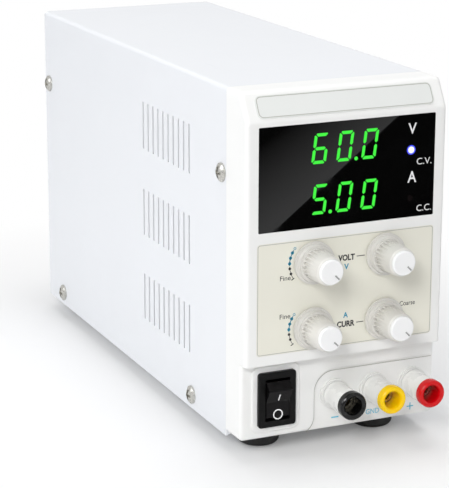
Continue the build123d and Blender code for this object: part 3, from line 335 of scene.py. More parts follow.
ferrite = moulded("core_ferrite", (0.035, 0.035, 0.038), 0.55, 0.3, 0.03, 0.12)
tape_yellow = moulded("winding_tape_yellow", (0.72, 0.55, 0.05), 0.30, 3.0, 0.05, 0.08)
sleeve_dark = moulded("capacitor_sleeve", (0.014, 0.018, 0.035), 0.24, 1.0, 0.01, 0.10)
copper = plated("choke_enamelled_copper", (0.60, 0.27, 0.12), 0.30, 0.8, (1.0, 1.0, 0.1))
epoxy_black = moulded("transistor_epoxy", (0.020, 0.020, 0.020), 0.50, 0.3, 0.02, 0.10)
display_dark = moulded("display_module_dark", (0.020, 0.020, 0.022), 0.40, 0.6, 0.01, 0.06)
lamp_tint = moulded("lamp_resin", (0.40, 0.50, 0.85), 0.15, 1.0, 0.005, 0.05)
print("with metal and inner parts", len(bpy.data.materials) - brought)


# %% [markdown]
# A circuit board is green lacquer over copper tracks. The tracks show as slightly lighter
# bands, so a stretched pattern in two directions stands for them.

# %% Circuit board
def circuit_board(name, colour):
    finish = Finish(name, colour, 0.32, Coat_Weight=0.3, Coat_Roughness=0.2)
    rows = finish.noise(3.0, 0.0, (1.0, 0.06, 1.0)).above(0.54)
    columns = finish.noise(3.0, 0.0, (0.06, 1.0, 1.0)).above(0.58)
    tracks = finish.math_of("MAXIMUM", rows, columns)
    finish.to("Base Color", finish.mix(tracks * 0.8, colour, shade(colour, 1.9)))
    finish.to("Roughness", 0.28 + 0.10 * finish.noise(2.0, 3.0))
    finish.bump(tracks, 0.3, 0.03)
    return finish


board_green = circuit_board("board_green", (0.012, 0.09, 0.035))


# %% [markdown]
# The glass fuse is one solid: a clear tube with a nickel cap on each end. The caps are told
# from the glass by how far a point is from the middle along X, so one finish carries both.

# %% Glass fuse
def fuse_finish(name, middle_x, glass_half):
    finish = Finish(name, (0.8, 0.86, 0.86), 0.08, Coat_Weight=0.5)
    capped = finish.math_of("ABSOLUTE", finish.axis("X") - middle_x).above(glass_half)
    finish.to("Base Color", finish.mix(capped, (0.80, 0.86, 0.86), (0.72, 0.70, 0.66)))
    finish.to("Metallic", capped)
    finish.to("Alpha", 0.35 + 0.65 * capped)
    finish.to("Roughness", 0.06 + 0.20 * capped * finish.noise(1.0, 3.0))
    return finish


def middle_of(node):
    low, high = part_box(node)
    return (low + high) / 2


CLEAR_HALF = 5.0 * MM
fuse_glass = fuse_finish("fuse_glass", middle_of("glass_fuse").x, CLEAR_HALF)
print("fuse: clear for", round(2 * CLEAR_HALF / MM, 1), "mm between its caps")

# %% [markdown]
# ## Dress the solid parts
#
# Each solid part takes its finish by name. Parts of one kind share one.

# %% Assign finishes to the solid parts
DRESS = {
    "top_cover": cover_paint, "chassis": chassis_paint, "front_frame": frame_white,
    "name_strip": strip_grey, "display_window": window_black, "control_overlay": panel_beige,
    "cover_screws": nickel, "small_screws": zinc, "rubber_feet": foot_black,
    "front_board": board_green, "led_displays": display_dark, "indicator_lamps": lamp_tint,
    "potentiometers": pot_steel, "post_collars": collar_white, "post_studs": stud_brass,
    "post_nuts": nut_brass, "post_tags": tag_tin, "switch_housing": switch_black,
    "switch_rocker": rocker_black, "switch_tabs": tag_tin, "fan_frame": fan_black,
    "fan_rotor": blade_black, "fan_guard": guard_bright, "fan_screws": zinc,
    "inlet_housing": inlet_black, "inlet_pins": stud_brass, "fuse_drawer": drawer_black,
    "glass_fuse": fuse_glass, "selector_body": inlet_black, "selector_slider": slider_red,
    "main_board": board_green, "board_spacers": nut_brass, "transformer_core": ferrite,
    "transformer_winding": tape_yellow, "capacitors": sleeve_dark, "line_choke": copper,
    "heat_sinks": sink_metal, "power_transistors": epoxy_black,
}
KNOBS = ("volt_fine", "volt_coarse", "current_fine", "current_coarse")
POSTS = {"black": post_black, "yellow": post_yellow, "red": post_red}
for knob in KNOBS:
    DRESS[knob + "_knob"] = knob_white
    DRESS[knob + "_cap"] = cap_white
    DRESS[knob + "_shaft"] = turned_metal
for post, colour in POSTS.items():
    DRESS[post + "_post_barrel"] = barrel_white
    DRESS[post + "_post_cap"] = colour
    DRESS[post + "_post_insert"] = stud_brass


def dress(node, finishes):
    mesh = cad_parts[node].data
    mesh.materials.clear()
    for finish in finishes:
        mesh.materials.append(finish.material)
    return mesh


for node, finish in DRESS.items():
    dress(node, [finish])
print("dressed", len(DRESS), "of", len(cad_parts), "solid parts")


# %% [markdown]
# ## Leads in their own colours
#
# The internal leads are six tubes in one node. Real ones are told apart by colour: brown and
# blue for mains, green-yellow for earth, black and red for the output. The faces of one tube
# hang together, so the mesh is split into islands of shared corners, and each island takes
# the next colour of the list in the order the islands are found; any beyond the last take the
# last.

# %% Lead colours
def sleeve(name, colour, stripe=None):
    finish = Finish(name, colour, 0.34, Coat_Weight=0.2, Coat_Roughness=0.3)
    tone = finish.mix(finish.noise(3.0, 3.0), shade(colour, 0.9), shade(colour, 1.1))
    if stripe:
        band = finish.noise(5.0, 0.0).above(0.5)
        tone = finish.mix(band, tone, stripe)
    finish.to("Base Color", tone)
    finish.bump(finish.noise(0.5, 2.0), 0.2, 0.01)
    return finish


LEADS = [
    sleeve("lead_brown", (0.13, 0.045, 0.02)), sleeve("lead_brown_switched", (0.16, 0.055, 0.02)),
    sleeve("lead_blue", (0.02, 0.07, 0.42)),
    sleeve("lead_earth", (0.05, 0.30, 0.04), (0.70, 0.60, 0.03)),
    sleeve("lead_black", (0.012, 0.012, 0.012)), sleeve("lead_red", (0.50, 0.012, 0.010)),
]


def islands(mesh):
    """For each polygon, the number of the connected piece it belongs to."""
    corner = {}
    parent = []
    for vertex in mesh.vertices:
        key = tuple(round(c / (0.01 * MM)) for c in vertex.co)
        corner.setdefault(key, len(corner))
        parent.append(corner[key])
    root = list(range(len(corner)))

    def find(a):
        while root[a] != a:
            root[a] = root[root[a]]
            a = root[a]
        return a

    for polygon in mesh.polygons:
        first = find(parent[polygon.vertices[0]])
        for vertex in polygon.vertices[1:]:
            root[find(parent[vertex])] = first
    labels = {}
    found = [find(parent[p.vertices[0]]) for p in mesh.polygons]
    return [labels.setdefault(f, len(labels)) for f in found], len(labels)


lead_mesh = dress("internal_leads", LEADS)
lead_labels, lead_count = islands(lead_mesh)
for polygon, label in zip(lead_mesh.polygons, lead_labels):
    polygon.material_index = min(label, len(LEADS) - 1)
print("leads found", lead_count)

# %% [markdown]
# ## Thin pieces
#
# Print is ink a few hundredths of a millimetre thick. Here it is a thin plate of that kind,
# proud of what it is printed on, so it never flickers against it and survives the export. A
# plate is drawn as outlines in the plane that faces the viewer, and one function turns
# outlines into closed meshes, front faces and side walls.

# %% Plates from outlines
INK = 0.04 * MM


def add_piece(name, mesh, finish, body):
    mesh.materials.clear()
    mesh.materials.append(finish.material)
    piece = bpy.data.objects.new(name, mesh)
    bpy.context.scene.collection.objects.link(piece)
    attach(piece, body)


def add_faces(name, vertices, faces, finish, body):
    mesh = bpy.data.meshes.new(name)
    mesh.from_pydata(vertices, [], faces)
    mesh.validate()
    mesh.update()
    add_piece(name, mesh, finish, body)


def plates(name, outlines, place, finish, body="case", thick=INK):
    """Each outline is a list of (right, up) in metres, anticlockwise. place puts (right, up,
    out) into the frame."""
    vertices = []
    faces = []
    for outline in outlines:
        start = len(vertices)
        count = len(outline)
        vertices += [place @ Vector((x, z, 0.0)) for x, z in outline]
        vertices += [place @ Vector((x, z, thick)) for x, z in outline]
        faces.append([start + count + i for i in range(count)])
        faces.append([start + count - 1 - i for i in range(count)])
        faces += [[start + i, start + (i + 1) % count, start + count + (i + 1) % count,
                   start + count + i] for i in range(count)]
    add_faces(name, vertices, faces, finish, body)


def facing(y, x=0.0, z=0.0, lean=0.0):
    """A drawing plane that faces -Y: right is +X, up is +Z, out is towards the viewer. lean
    tips its top away from the viewer, in degrees."""
    upright = Matrix.Rotation(math.radians(90.0 - lean), 4, "X")
    return Matrix.Translation((x, y, z)) @ upright


def facing_rear(y, x=0.0, z=0.0):
    return Matrix.Translation((x, y, z)) @ Matrix.Rotation(math.pi, 4, "Z") @ facing(0.0)


# %% [markdown]
# Round marks, frames and lettering all come down to outlines. Letters start as a text
# curve, are scaled to the cap height wanted and become a mesh, so no font is needed later.

# %% Rings, dots and lettering
def arc_point(radius, degrees, x=0.0, z=0.0):
    a = math.radians(degrees)
    return x + radius * math.cos(a), z + radius * math.sin(a)


def arc_points(radius, start, stop, count, x=0.0, z=0.0):
    turns = [start + (stop - start) * i / (count - 1) for i in range(count)]
    return [arc_point(radius, turn, x, z) for turn in turns]


def dot(x, z, radius, count=20):
    return arc_points(radius, 0.0, 360.0 * (count - 1) / count, count, x, z)


def ring(x, z, radius, width, start=0.0, stop=360.0, count=40):
    """A ring as short four-cornered outlines."""
    outer = arc_points(radius + width / 2, start, stop, count, x, z)
    inner = arc_points(radius - width / 2, start, stop, count, x, z)
    return [[inner[i], outer[i], outer[i + 1], inner[i + 1]] for i in range(count - 1)]


def bar(x0, z0, x1, z1, width):
    """A straight stroke from one point to the other."""
    length = math.hypot(x1 - x0, z1 - z0)
    sx, sz = (z1 - z0) / length * width / 2, (x0 - x1) / length * width / 2
    return [(x0 - sx, z0 - sz), (x0 + sx, z0 + sz), (x1 + sx, z1 + sz), (x1 - sx, z1 - sz)]


def rounded_frame(width, height, corner, line):
    """The line round a rectangle with rounded corners, as four-cornered outlines."""
    spots = []
    for angle, sx, sz in ((0, 1, 1), (90, -1, 1), (180, -1, -1), (270, 1, -1)):
        cx, cz = sx * (width / 2 - corner), sz * (height / 2 - corner)
        for step in range(7):
            a = math.radians(angle + 15 * step)
            spots.append((cx, cz, math.cos(a), math.sin(a)))
    outer = [(cx + c * corner, cz + s * corner) for cx, cz, c, s in spots]
    inner = [(cx + c * (corner - line), cz + s * (corner - line)) for cx, cz, c, s in spots]
    count = len(spots)
    return [[inner[i], outer[i], outer[(i + 1) % count], inner[(i + 1) % count]]
            for i in range(count)]


def lettering(name, words, middle, height, finish, place, width=None, weight=0.0):
    """Generic words on the case, centred on middle, with that height of capitals."""
    curve = bpy.data.curves.new(name, "FONT")
    curve.body = words
    curve.offset = weight
    curve.extrude = 0.01
    holder = bpy.data.objects.new(name, curve)
    bpy.context.scene.collection.objects.link(holder)
    bpy.context.view_layer.update()
    shaped = holder.evaluated_get(bpy.context.evaluated_depsgraph_get())
    mesh = bpy.data.meshes.new_from_object(shaped)
    bpy.data.objects.remove(holder)
    bpy.data.curves.remove(curve)
    low = [min(v.co[i] for v in mesh.vertices) for i in range(2)]
    high = [max(v.co[i] for v in mesh.vertices) for i in range(2)]
    tall = height / (high[1] - low[1])
    wide = width / (high[0] - low[0]) if width else tall
    for v in mesh.vertices:
        x = middle[0] + (v.co.x - (low[0] + high[0]) / 2) * wide
        z = middle[1] + (v.co.y - (low[1] + high[1]) / 2) * tall
        v.co = place @ Vector((x, z, INK if v.co.z > 0 else 0.0))
    add_piece(name, mesh, finish, "case")


# %% [markdown]
# ## Inks and lights
#
# Screen-printed ink is matt and a little uneven. The digits, the lit lamp and their halo are
# light, so they get an emission colour; its strength stays near 1 so that the green keeps its
# hue instead of burning out to white.

# %% Ink and light finishes
def ink(name, colour, roughness=0.55):
    finish = Finish(name, colour, roughness)
    tone = finish.mix(finish.noise(0.7, 3.0), shade(colour, 0.88), shade(colour, 1.12))
    finish.to("Base Color", tone)
    finish.to("Roughness", roughness - 0.05 + 0.1 * finish.noise(0.5, 2.0))
    return finish


def glowing(name, colour, strength, core=1.0):
    finish = Finish(name, shade(colour, 0.3), 0.3, Emission_Strength=strength)
    spots = finish.noise(1.6, 1.0)
    finish.to("Emission Color", finish.mix(spots, shade(colour, 0.86), shade(colour, core)))
    return finish


ink_black = ink("print_black", (0.02, 0.02, 0.022))
ink_teal = ink("print_teal", (0.015, 0.27, 0.42))
ink_blue = ink("print_light_blue", (0.10, 0.50, 0.68))
ink_white = ink("print_white", (0.80, 0.80, 0.80))
# This grey prints the outlines of the foils and also paints the shadow line at the foot of the
# terminal field's step.
grey_print_and_shadow_ink = ink("grey_print_and_painted_shadow", (0.42, 0.42, 0.38))
mark_white = ink("switch_mark_white", (0.88, 0.88, 0.88), 0.4)
digit_green = glowing("digit_green", (0.045, 0.76, 0.045), 1.0, 1.05)
lamp_blue = glowing("lamp_lit_blue", (0.06, 0.08, 1.0), 1.0)
lamp_core = glowing("lamp_core_white", (0.80, 0.84, 1.0), 1.1)
lamp_dark = moulded("lamp_unlit", (0.006, 0.004, 0.004), 0.15, 1.0, 0.005, 0.10)
print("with leads, inks and lights", len(bpy.data.materials) - brought)

# %% [markdown]
# ## Name strip and control field outlines
#
# The strip on the slope is bare here, with the thin printed line round it. Its plane leans
# back with the slope of the frame, and the angle comes from the strip's own box: how far it
# reaches back against how tall it is.

# %% Outlines of the foils
STRIP_THICK = 0.3 * MM
STRIP_TALL = 8.6 * MM
THICK_SHARE = 0.86   # how much of the strip's thickness its slope turns towards Y
STRIP_LINE = (69.6 * MM, 7.9 * MM, 1.8 * MM, 0.28 * MM)   # width, height, corner, line
strip_low, strip_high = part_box("name_strip")
strip_back = strip_high.y - strip_low.y - STRIP_THICK * THICK_SHARE
lean = math.degrees(math.asin(strip_back / STRIP_TALL))
out = Vector((0.0, -math.cos(math.radians(lean)), math.sin(math.radians(lean))))
strip_face = middle_of("name_strip") + out * (STRIP_THICK / 2)
strip_place = facing(strip_face.y, strip_face.x, strip_face.z, lean)
print("slope leans back", round(lean, 1), "degrees")
plates("name_strip_outline", rounded_frame(*STRIP_LINE), strip_place, grey_print_and_shadow_ink)

PANEL_MARGIN, PANEL_CORNER, PANEL_LINE = 0.5 * MM, 1.0 * MM, 0.22 * MM
panel_low, panel_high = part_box("control_overlay")
panel_middle = middle_of("control_overlay")
panel_width = panel_high.x - panel_low.x - PANEL_MARGIN
panel_height = panel_high.z - panel_low.z - PANEL_MARGIN
panel_place = facing(panel_low.y)
plates("control_panel_outline",
       rounded_frame(panel_width, panel_height, PANEL_CORNER, PANEL_LINE),
       facing(panel_low.y, panel_middle.x, panel_middle.z), grey_print_and_shadow_ink)

# %% [markdown]
# ## Print round the knobs
#
# Left knobs are the fine ones, right knobs the coarse ones. Each fine knob has an arc of
# small dots, teal above and black below, with a ring at its upper end and a tick at its lower
# one. Angles are counted from the right, anticlockwise. The word between each pair of knobs
# says what is set, and a short line leads from it to the knobs.

# %% Scales of the fine knobs
SCALE_REACH = 9.5 * MM
TEAL_RING, TEAL_DOTS, TEAL_LINE = 141.5, (152.5, 164.5, 177.0), (146.0, 182.0)
DARK_DOTS, DARK_LINE, DARK_TICK = (188.5, 200.5), (184.0, 212.0), 213.5
knob_at = {knob: middle_of(knob + "_cap") for knob in KNOBS}
print("knob centres", {k: (round(m.x / MM, 1), round(m.z / MM, 1)) for k, m in knob_at.items()})


def knob_scale(knob):
    x, z = knob_at[knob].x, knob_at[knob].z
    teal = ring(*arc_point(SCALE_REACH, TEAL_RING, x, z), 0.42 * MM, 0.2 * MM, count=16)
    for angle in TEAL_DOTS:
        teal.append(dot(*arc_point(SCALE_REACH, angle, x, z), 0.62 * MM))
    dark = []
    for angle in DARK_DOTS:
        dark.append(dot(*arc_point(SCALE_REACH, angle, x, z), 0.52 * MM))
    start = arc_point(SCALE_REACH - 0.4 * MM, DARK_TICK, x, z)
    end = arc_point(SCALE_REACH + 0.9 * MM, DARK_TICK, x, z)
    dark.append(bar(*start, *end, 0.35 * MM))
    line = ring(x, z, SCALE_REACH, 0.34 * MM, *TEAL_LINE, 14)
    tail = ring(x, z, SCALE_REACH, 0.2 * MM, *DARK_LINE, 12)
    plates(knob + "_scale_teal", teal + line, panel_place, ink_teal)
    plates(knob + "_scale_black", dark + tail, panel_place, ink_black)


for knob in ("volt_fine", "current_fine"):
    knob_scale(knob)

# %% [markdown]
# The words are placed from the knobs: up or down from a row's centre line, and left or right
# from the panel's middle or from the knob that a word belongs to. A size is width and height
# of the capitals in millimetres, and the last number makes the strokes bolder.

# %% Words between and beside the knobs
volt_row = knob_at["volt_fine"].z
current_row = knob_at["current_fine"].z
fine_x = knob_at["volt_fine"].x - 11.1 * MM
coarse_x = knob_at["current_coarse"].x + 10.0 * MM


def panel_words(name, words, x, z, size, finish, weight=0.0):
    width, height = size
    lettering(name, words, (x, z), height * MM, finish, panel_place, width * MM, weight)


panel_words("print_volt", "VOLT", -0.05 * MM, volt_row + 0.25 * MM, (6.7, 2.3), ink_black, 0.035)
panel_words("print_curr", "CURR", 0.15 * MM, current_row - 0.25 * MM, (7.2, 2.3), ink_black, 0.035)
panel_words("print_v", "V", 0.0, volt_row - 3.15 * MM, (1.9, 2.1), ink_teal, 0.03)
panel_words("print_a", "A", 0.0, current_row + 3.15 * MM, (1.9, 2.1), ink_teal, 0.03)
panel_words("print_fine_top", "Fine", fine_x, volt_row - 4.7 * MM, (4.2, 1.75), ink_black)
panel_words("print_fine_low", "Fine", fine_x, current_row + 5.6 * MM, (4.2, 1.75), ink_black)
panel_words("print_coarse", "Coarse", coarse_x, current_row + 4.6 * MM, (6.4, 1.75), ink_black)

LEADER_WIDE = 0.28 * MM
volt_line, current_line = volt_row + 0.3 * MM, current_row - 0.2 * MM
leaders = [bar(start * MM, z, end * MM, z, LEADER_WIDE)
           for start, end, z in ((-5.55, -4.2, volt_line), (4.1, 7.4, volt_line),
                                 (-5.3, -4.2, current_line), (4.4, 7.4, current_line))]
plates("print_leaders", leaders, panel_place, ink_black)
print("knob rows at", round(volt_row / MM, 1), "and", round(current_row / MM, 1), "mm")

# %% [markdown]
# ## Digits behind the window
#
# Each figure is seven bars with pointed ends, leaning to the right, with a dark gap between
# neighbours as in real modules. One function gives the outline of a bar, and the letters of
# the lit bars spell a figure. Rows are placed up from the lower edge of the window.

# %% Seven-segment figures
SEGMENTS = {"6": "afgedc", "0": "abcdef", "5": "afgcd"}
DIGIT_TALL = 11.0 * MM
DIGIT_WIDE = 5.8 * MM
BAR_WIDE = 1.15 * MM
BAR_GAP = 0.24 * MM
SLANT = math.tan(math.radians(7.5))
FIGURES_LEFT = (-14.9 * MM, -5.0 * MM, 5.0 * MM)
POINT_RADIUS = 0.72 * MM


def segment(letter):
    """A bar in a figure whose lower left corner is at 0, 0, upright. The ends are cut at 45
    degrees, so that bars meet in a mitre with a thin dark line."""
    wide, tall, half = DIGIT_WIDE, DIGIT_TALL, DIGIT_TALL / 2
    t, gap, blunt = BAR_WIDE, BAR_GAP, 0.35 * BAR_WIDE
    if letter == "g":
        return [(gap + t * 0.5, half), (t + gap, half - t / 2), (wide - t - gap, half - t / 2),
                (wide - gap - t * 0.5, half), (wide - t - gap, half + t / 2),
                (t + gap, half + t / 2)]
    if letter in "ad":
        shape = [(blunt + gap, tall - blunt), (t + gap, tall - t), (wide - t - gap, tall - t),
                 (wide - blunt - gap, tall - blunt), (wide - blunt * 1.6 - gap, tall),
                 (blunt * 1.6 + gap, tall)]
    else:
        shape = [(0.0, half + t * 0.5 + gap), (t * 0.5, half + gap), (t, half + t * 0.5 + gap),
                 (t, tall - t - gap), (blunt, tall - blunt - gap), (0.0, tall - blunt * 1.6 - gap)]
    if letter in "bc":
        shape = [(wide - x, z) for x, z in reversed(shape)]
    if letter in "dec":
        shape = [(x, tall - z) for x, z in reversed(shape)]
    return shape


def lean_over(outline, x, z):
    return [(x + px + pz * SLANT, z + pz) for px, pz in outline]


window_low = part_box("display_window")[0]
window_place = facing(window_low.y)


def digit_row(name, text, bottom, point_x):
    bottom += window_low.z
    bars = []
    for figure, left in zip(text, FIGURES_LEFT):
        bars += [lean_over(segment(letter), left, bottom) for letter in SEGMENTS[figure]]
    bars.append(dot(point_x, bottom + 0.6 * MM, POINT_RADIUS, 16))
    plates(name, bars, window_place, digit_green)
    print(name, len(bars), "lit shapes")


digit_row("digits_volt", "600", 23.3 * MM, 3.05 * MM)
digit_row("digits_ampere", "500", 4.8 * MM, -7.0 * MM)

# %% [markdown]
# ## Unit letters and lamps
#
# White unit letters stand right of the digits. The voltage lamp is lit: a bright core in a
# blue disc. The current lamp below is dark.

# %% Units and lamps
def window_words(name, words, x, up, size, weight=0.0):
    width, height = size
    lettering(name, words, (x * MM, window_low.z + up * MM), height * MM, ink_white, window_place,
              width * MM, weight)


window_words("unit_v", "V", 25.8, 32.9, (3.4, 4.0), 0.01)
window_words("unit_a", "A", 26.1, 15.0, (3.6, 4.2), 0.01)
window_words("unit_cv", "C.V.", 31.0, 20.5, (6.1, 2.4))
window_words("unit_cc", "C.C.", 31.4, 3.0, (6.1, 2.4))

LAMP_X = 25.5 * MM
VOLT_LAMP, CURRENT_LAMP = 25.0 * MM, 7.1 * MM


def lamp(name, up, radius, finish, stand):
    spot = dot(LAMP_X, window_low.z + up, radius * MM, 28)
    plates(name, [spot], window_place, finish, "case", stand * MM)


lamp("lamp_volt_disc", VOLT_LAMP, 1.75, lamp_blue, 0.04)
lamp("lamp_volt_core", VOLT_LAMP, 1.25, lamp_core, 0.07)
lamp("lamp_current_disc", CURRENT_LAMP, 1.1, lamp_dark, 0.04)
print("lamps", round(VOLT_LAMP / MM, 1), "and", round(CURRENT_LAMP / MM, 1), "mm up the window")

# %% [markdown]
# ## Pointer inlays
#
# Each knob cap has a groove as its pointer. A grey inlay lies in the groove, riding on that
# knob's body, so it turns with the knob. The groove runs towards the end of the track.

# %% Pointers
pointer_grey = ink("pointer_grey", (0.36, 0.36, 0.35))
POINTER_ANGLE = -45.0
POINTER_FROM, POINTER_TO = 1.9 * MM, 4.05 * MM
POINTER_WIDE, POINTER_DEEP, POINTER_THICK = 0.5 * MM, 0.27 * MM, 0.1 * MM
for knob in KNOBS:
    x, z = knob_at[knob].x, knob_at[knob].z
    stroke = bar(*arc_point(POINTER_FROM, POINTER_ANGLE, x, z),
                 *arc_point(POINTER_TO, POINTER_ANGLE, x, z), POINTER_WIDE)
    groove_floor = facing(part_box(knob + "_cap")[0].y + POINTER_DEEP)
    plates(knob + "_pointer", [stroke], groove_floor, pointer_grey, knob + "_control",
           POINTER_THICK)
print("pointers", len(KNOBS), "at", POINTER_ANGLE, "degrees")

# %% [markdown]
# ## Marks on the rocker
#
# The line is moulded in white on the rocker's upper face, the ring on its lower one. The two
# faces meet at a ridge, and with the lower half pressed in they lean differently, so each
# plane is read from the solid: the normal of the largest flat that looks forward there.

# %% Rocker marks
rocker_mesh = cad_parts["switch_rocker"].data
rocker_x = middle_of("switch_rocker").x
switch_middle = middle_of("switch_housing").z
LINE_HALF, RING_RADIUS, MARK_STROKE = 1.5 * MM, 1.75 * MM, 0.45 * MM


def flat_towards_viewer(mesh, level):
    """Centre and normal of the largest forward-looking flat that crosses this height."""
    best = None
    for polygon in mesh.polygons:
        heights = [mesh.vertices[i].co.z for i in polygon.vertices]
        if polygon.normal.y < -0.5 and min(heights) <= level <= max(heights):
            if best is None or polygon.area > best.area:
                best = polygon
    return best.center.copy(), best.normal.copy()


def rocker_plane(level):
    centre, normal = flat_towards_viewer(rocker_mesh, level)
    tip = math.degrees(math.atan2(normal.z, -normal.y))
    y = centre.y - (level - centre.z) * normal.z / normal.y
    print("rocker face at", round(level / MM, 1), "tips", round(tip, 1), "degrees")
    return facing(y, rocker_x, level, tip)


plates("rocker_line", [bar(0.0, -LINE_HALF, 0.0, LINE_HALF, MARK_STROKE)],
       rocker_plane(switch_middle + 1.2 * MM), mark_white, "rocker")
plates("rocker_ring", ring(0.0, 0.0, RING_RADIUS, MARK_STROKE),
       rocker_plane(switch_middle - 5.6 * MM), mark_white, "rocker")

# %% [markdown]
# ## Terminal marks
#
# A dash, the letters of the earth terminal and a cross stand under the posts, in light blue,
# on the pressed field. A fine dark line of painted shadow runs round that field at the foot of its
# step.

# %% Marks under the posts
COLLAR_STAND = 1.9 * MM
field_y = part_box("post_collars")[0].y + COLLAR_STAND
field_place = facing(field_y)
marks_z = middle_of("post_collars").z - 9.5 * MM
MINUS_X, EARTH_X, PLUS_X = -0.9 * MM, 14.9 * MM, 31.0 * MM
MINUS_HALF, PLUS_HALF, PLUS_DROP = 1.5 * MM, 1.4 * MM, 0.4 * MM
plates("mark_minus", [bar(MINUS_X - MINUS_HALF, marks_z, MINUS_X + MINUS_HALF, marks_z, 0.5 * MM)],
       field_place, ink_blue)
plus_z = marks_z - PLUS_DROP
plates("mark_plus", [bar(PLUS_X - PLUS_HALF, plus_z, PLUS_X + PLUS_HALF, plus_z, 0.4 * MM),
                     bar(PLUS_X, plus_z - PLUS_HALF, PLUS_X, plus_z + PLUS_HALF, 0.41 * MM)],
       field_place, ink_blue)
lettering("mark_earth", "GND", (EARTH_X, marks_z), 2.0 * MM, ink_blue, field_place, 5.6 * MM)

# %% [markdown]
# The painted shadow line is drawn as two straight bars and two stretches of a ring. The field's
# edge turns through a large corner at the top left and flares outwards again at the bottom.

# %% Painted shadow line round the terminal field
FIELD_LEFT, FIELD_TALL, FIELD_CORNER, FIELD_FLARE = -10.2 * MM, 23.1 * MM, 8.3 * MM, 5.4 * MM
SHADOW_INSET, SHADOW_WIDE = 0.45 * MM, 0.24 * MM
frame_low, frame_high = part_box("front_frame")
field_top = frame_low.z + FIELD_TALL
corner_x, corner_z = FIELD_LEFT + FIELD_CORNER, field_top - FIELD_CORNER
flare_x, flare_z = FIELD_LEFT - FIELD_FLARE, frame_low.z + FIELD_FLARE
left, top, right = FIELD_LEFT + SHADOW_INSET, field_top - SHADOW_INSET, frame_high.x - 0.6 * MM
painted_step_shadow = [bar(corner_x, top, right, top, SHADOW_WIDE),
                bar(left, corner_z, left, flare_z, SHADOW_WIDE)]
painted_step_shadow += ring(corner_x, corner_z, FIELD_CORNER - SHADOW_INSET, SHADOW_WIDE, 90.0, 180.0, 20)
painted_step_shadow += ring(flare_x, flare_z, FIELD_FLARE + SHADOW_INSET, SHADOW_WIDE, -62.0, 0.0, 12)
plates("painted_step_shadow", painted_step_shadow, field_place, grey_print_and_shadow_ink)
print("groove of", len(painted_step_shadow), "strokes")

# %% [markdown]
# ## Marks at the rear
#
# The rear isn't in the picture. It gets only plain working marks: the two mains voltages
# over the selector, and words over the inlet and under its fuse drawer.

# %% Rear marks
rear_place = facing_rear(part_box("chassis")[1].y)
selector_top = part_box("selector_body")[1].z
inlet_low, inlet_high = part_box("inlet_housing")
selector_x, inlet_x = middle_of("selector_body").x, middle_of("inlet_housing").x


def rear_words(name, words, x, z, height):
    """Seen from behind, a place on the object's right lies to the left."""
    lettering(name, words, (-x, z), height, ink_black, rear_place)


rear_words("mark_voltages", "115 V    230 V", selector_x, selector_top + 3.0 * MM, 2.2 * MM)
rear_words("mark_inlet", "AC IN", inlet_x, inlet_high.z + 3.2 * MM, 2.4 * MM)
rear_words("mark_fuse", "FUSE", inlet_x, inlet_low.z - 3.0 * MM, 2.2 * MM)
print("rear marks over x", round(selector_x / MM, 1), "and", round(inlet_x / MM, 1), "mm")

# %% [markdown]
# ## Small parts on the main board
#
# Resistors and chips fill the space between the large parts. Many small parts are round, and
# a short profile turned round an axis gives them better than a plain cylinder. Shapes of one
# finish are gathered into one piece.

# %% Turned shapes
def turned_profile(profile, centre, axis, sides=14):
    """Vertices and faces of a profile [(along, radius)] turned round axis X or Z."""
    vertices = []
    faces = []
    for along, radius in profile:
        for i in range(sides):
            a = 2 * math.pi * i / sides
            u, v = radius * math.cos(a), radius * math.sin(a)
            spot = (along, u, v) if axis == "X" else (u, v, along)
            vertices.append(centre + Vector(spot))
    for j in range(len(profile) - 1):
        for i in range(sides):
            k = (i + 1) % sides
            faces.append([j * sides + i, j * sides + k, (j + 1) * sides + k, (j + 1) * sides + i])
    faces.append([sides - 1 - i for i in range(sides)])
    faces.append([(len(profile) - 1) * sides + i for i in range(sides)])
    return vertices, faces


def gather(name, shapes, finish):
    vertices = []
    faces = []
    for more, their_faces in shapes:
        start = len(vertices)
        vertices += more
        faces += [[start + i for i in face] for face in their_faces]
    add_faces(name, vertices, faces, finish, "case")


# %% [markdown]
# A resistor is a body with swollen ends on a wire. Its profile is a list of how far along the
# axis and how wide, in millimetres. Its place is right of the board's middle and back from
# the board's front edge.

# %% Resistors
resistor_tan = moulded("resistor_body", (0.42, 0.30, 0.16), 0.35, 0.5, 0.01, 0.15)
board_low, board_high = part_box("main_board")
RESISTOR = [(-3.2, 0.7), (-2.9, 1.15), (-2.0, 1.2), (-1.6, 0.95), (1.6, 0.95), (2.0, 1.2),
            (2.9, 1.15), (3.2, 0.7)]
WIRE = [(-5.0, 0.3), (5.0, 0.3)]
RESISTOR_LIFT = 1.4
RESISTORS_AT = [(-12.0, 14.0), (-12.0, 18.0), (9.0, 16.0), (9.0, 31.0), (-2.0, 31.0),
                (-12.0, 30.0)]


def on_board(x, back, lift):
    return Vector((x * MM, board_low.y + back * MM, board_high.z + lift * MM))


def along_board(name, profile, sides, finish):
    scaled = [(along * MM, radius * MM) for along, radius in profile]
    gather(name, [turned_profile(scaled, on_board(x, back, RESISTOR_LIFT), "X", sides)
                  for x, back in RESISTORS_AT], finish)


along_board("board_resistors", RESISTOR, 14, resistor_tan)
along_board("board_resistor_wires", WIRE, 8, tag_tin)
print("resistors on the main board", len(RESISTORS_AT))


# %% [markdown]
# A chip is three rectangles, one over the other: a foot, a waist a little wider and a top
# drawn in. Each chip is given by its place, as above, and its width, depth and height.

